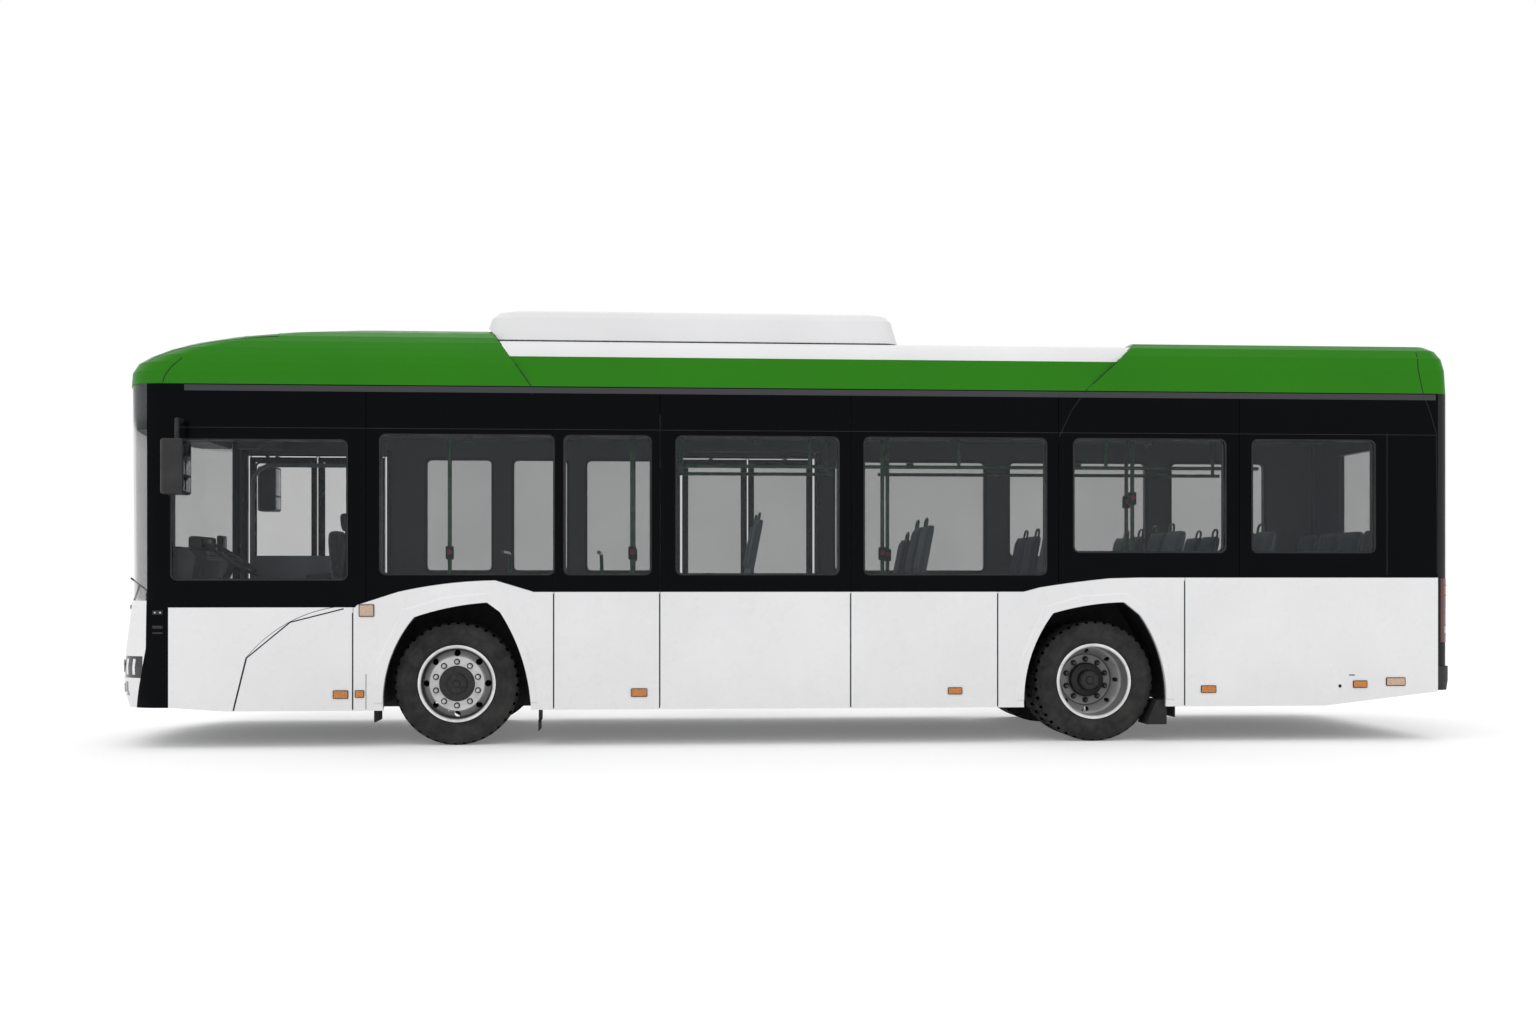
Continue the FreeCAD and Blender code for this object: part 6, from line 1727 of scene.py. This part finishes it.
    def seat_cushions(self) -> None:
        """Builds the driver's cushion, back and head rest as padded pieces."""
        for row in self.cushions:
            low, high = zip(row.x, (self.driver_y - row.half_wide, self.driver_y + row.half_wide),
                            (self.floor_z + row.z[0], self.floor_z + row.z[1]))
            mesh = cushion_mesh(low, high, row.crown, row.channels, lean=row.lean)
            piece = self.put(mesh, "driver_seat_" + row.name, "seat_fabric", "driver_weave", smooth=60.0)


# ---------------------------------------------------------------- studio

@dataclass
class Studio:
    """Pale floor, soft lights and the camera."""

    camera_place: Point = (1.051, 13.694, 1.261)
    heading: float = 0.0691
    lens: float = 37.64
    shift: float = 0.0456
    floor_size: float = 120.0
    floor_glow: float = 0.16
    even_light: float = 0.70
    suns: Tuple[Tuple[str, Point, float, float], ...] = (
        ("studio_top", (0.0, 0.0, -1.0), 0.80, 80.0),
        ("studio_left", (-0.25, -0.85, -0.46), 0.62, 50.0),
        ("studio_right", (0.25, 0.85, -0.46), 0.62, 50.0))

    def build(self) -> None:
        """Builds the floor, the lights, the world and the camera."""
        self.floor()
        self.world()
        self.lights()
        self.camera()
        bpy.context.scene.view_settings.view_transform = "Standard"

    def floor(self) -> None:
        """Builds the floor, which shows white between the shadows."""
        mesh = new_mesh()
        bmesh.ops.create_grid(mesh, x_segments=1, y_segments=1, size=self.floor_size / 2)
        data = bpy.data.meshes.new("studio_floor")
        mesh.to_mesh(data)
        mesh.free()
        floor = bpy.data.objects.new("studio_floor", data)
        bpy.context.scene.collection.objects.link(floor)
        nodes = Nodes("studio_floor")
        nodes.shader.inputs["Base Color"].default_value = (0.90, 0.90, 0.90, 1)
        nodes.shader.inputs["Roughness"].default_value = 0.9
        nodes.shader.inputs["Specular IOR Level"].default_value = 0.0
        path = nodes.add("ShaderNodeLightPath")
        seen = nodes.maths("MAXIMUM", nodes.maths("MAXIMUM", path.outputs["Is Camera Ray"],
                                                  path.outputs["Is Glossy Ray"]),
                           path.outputs["Is Transmission Ray"])
        glow = nodes.add("ShaderNodeEmission", Color=(1, 1, 1, 1), Strength=self.floor_glow)
        dark = nodes.add("ShaderNodeEmission", Color=(0, 0, 0, 1), Strength=0.0)
        pick = nodes.add("ShaderNodeMixShader")
        nodes.link(seen, pick.inputs[0])
        nodes.link(dark.outputs[0], pick.inputs[1])
        nodes.link(glow.outputs[0], pick.inputs[2])
        both = nodes.add("ShaderNodeAddShader")
        nodes.link(nodes.shader.outputs[0], both.inputs[0])
        nodes.link(pick.outputs[0], both.inputs[1])
        nodes.link(both.outputs[0], nodes.tree.nodes["Material Output"].inputs["Surface"])
        data.materials.append(nodes.material)

    def world(self) -> None:
        """Builds a white backdrop and an even studio light."""
        world = bpy.data.worlds.new("studio")
        bpy.context.scene.world = world
        world.use_nodes = True
        tree = world.node_tree
        backdrop, even = tree.nodes["Background"], tree.nodes.new("ShaderNodeBackground")
        for node, strength in ((backdrop, 1.0), (even, self.even_light)):
            node.inputs["Color"].default_value = (1, 1, 1, 1)
            node.inputs["Strength"].default_value = strength
        path = tree.nodes.new("ShaderNodeLightPath")
        seen = path.outputs["Is Camera Ray"]
        for kind in ("Is Glossy Ray", "Is Transmission Ray"):
            either = tree.nodes.new("ShaderNodeMath")
            either.operation = "MAXIMUM"
            tree.links.new(seen, either.inputs[0])
            tree.links.new(path.outputs[kind], either.inputs[1])
            seen = either.outputs[0]
        mix = tree.nodes.new("ShaderNodeMixShader")
        for source, target in ((seen, mix.inputs[0]), (even.outputs[0], mix.inputs[1]),
                               (backdrop.outputs[0], mix.inputs[2]),
                               (mix.outputs[0], tree.nodes["World Output"].inputs["Surface"])):
            tree.links.new(source, target)

    def lights(self) -> None:
        """Hangs wide soft suns above and at both sides, so that the floor is lit evenly."""
        for name, look, strength, spread in self.suns:
            light = bpy.data.lights.new(name, "SUN")
            light.energy = strength
            light.angle = math.radians(spread)
            holder = bpy.data.objects.new(name, light)
            holder.visible_glossy = False
            holder.rotation_euler = Vector(look).to_track_quat("-Z", "Y").to_euler()
            bpy.context.scene.collection.objects.link(holder)

    def camera(self) -> None:
        """Sets the camera beside the bus, level, with the picture's vertical shift."""
        data = bpy.data.cameras.new("camera")
        data.lens = self.lens
        data.sensor_width = 36.0
        data.shift_y = self.shift
        data.clip_end = 200.0
        camera = bpy.data.objects.new("camera", data)
        camera.location = self.camera_place
        look = Vector((-math.sin(self.heading), -math.cos(self.heading), 0.0))
        camera.rotation_euler = look.to_track_quat("-Z", "Y").to_euler()
        bpy.context.scene.collection.objects.link(camera)
        bpy.context.scene.camera = camera


# ---------------------------------------------------------------- the bus

@dataclass
class Dresser:
    """Gives each CAD node its finish."""

    finishes: Finishes
    plan: Dict[str, Tuple[str, ...]] = field(default_factory=lambda: {
        "white_paint": ("skirt_panels", "front_mask"),
        "green_paint": ("roof_front", "roof_rear", "roof_rails", "engine_lid"),
        "roof_white": ("roof_middle", "roof_pod"),
        "black_gloss": ("glazing_bands", "front_columns"),
        "rear_grey": ("rear_wall",),
        "side_glass": ("side_windows", "rear_window", "glass_door1_front", "glass_door1_rear",
                       "glass_door2_front", "glass_door2_rear"),
        "screen_glass": ("windscreen",),
        "door_black": ("leaf_door1_front", "leaf_door1_rear", "leaf_door2_front", "leaf_door2_rear",
                       "arm_door1_front", "arm_door1_rear", "arm_door2_front", "arm_door2_rear"),
        "front_wheel_silver": ("rim_front_left", "rim_front_right"),
        "rear_wheel_silver": ("rims_rear_left", "rims_rear_right"),
        "cast_iron": ("front_axle", "rear_axle", "knuckle_left", "knuckle_right", "engine"),
        "frame_steel": ("frame_rails", "tow_sockets"),
        "floor_vinyl": ("floor", "platforms"),
        "arch_liner": ("wheel_housings",),
        "lining_plastic": ("ceiling",),
        "wall_lining": ("side_walls",),
        "dash_plastic": ("dashboard", "steering_wheel"),
        "black_plastic": ("rear_bumper", "mirrors", "wipers", "destination_sign"),
        "lamp_black": ("front_lamps",),
        "red_lens": ("tail_lamps",),
        "amber_lens": ("side_markers",),
        "driver_weave": ("driver_seat",),
        "shell_plastic": ("seat_shells",),
        "green_tube": ("handrails",),
        "ticket_case": ("cab_partition",),
        "seat_weave": ("seat_pads",),
    })

    def build(self) -> None:
        """Dresses the nodes."""
        for name, nodes in self.plan.items():
            for node in nodes:
                self.finishes.dress(node, name)


def main() -> None:
    """Builds the bus's looks in order."""
    logging.basicConfig(level=logging.INFO, format="%(message)s")
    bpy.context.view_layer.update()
    finishes = Finishes()
    Studio().build()
    Dresser(finishes).build()
    for family in (Wheels, Glazing, Lamps, PanelJoints, DoorTrims, Mirrors, Seats, Rails, Cab):
        LOG.info("building %s", family.__name__)
        family(finishes).build()


if __name__ == "__main__":
    main()
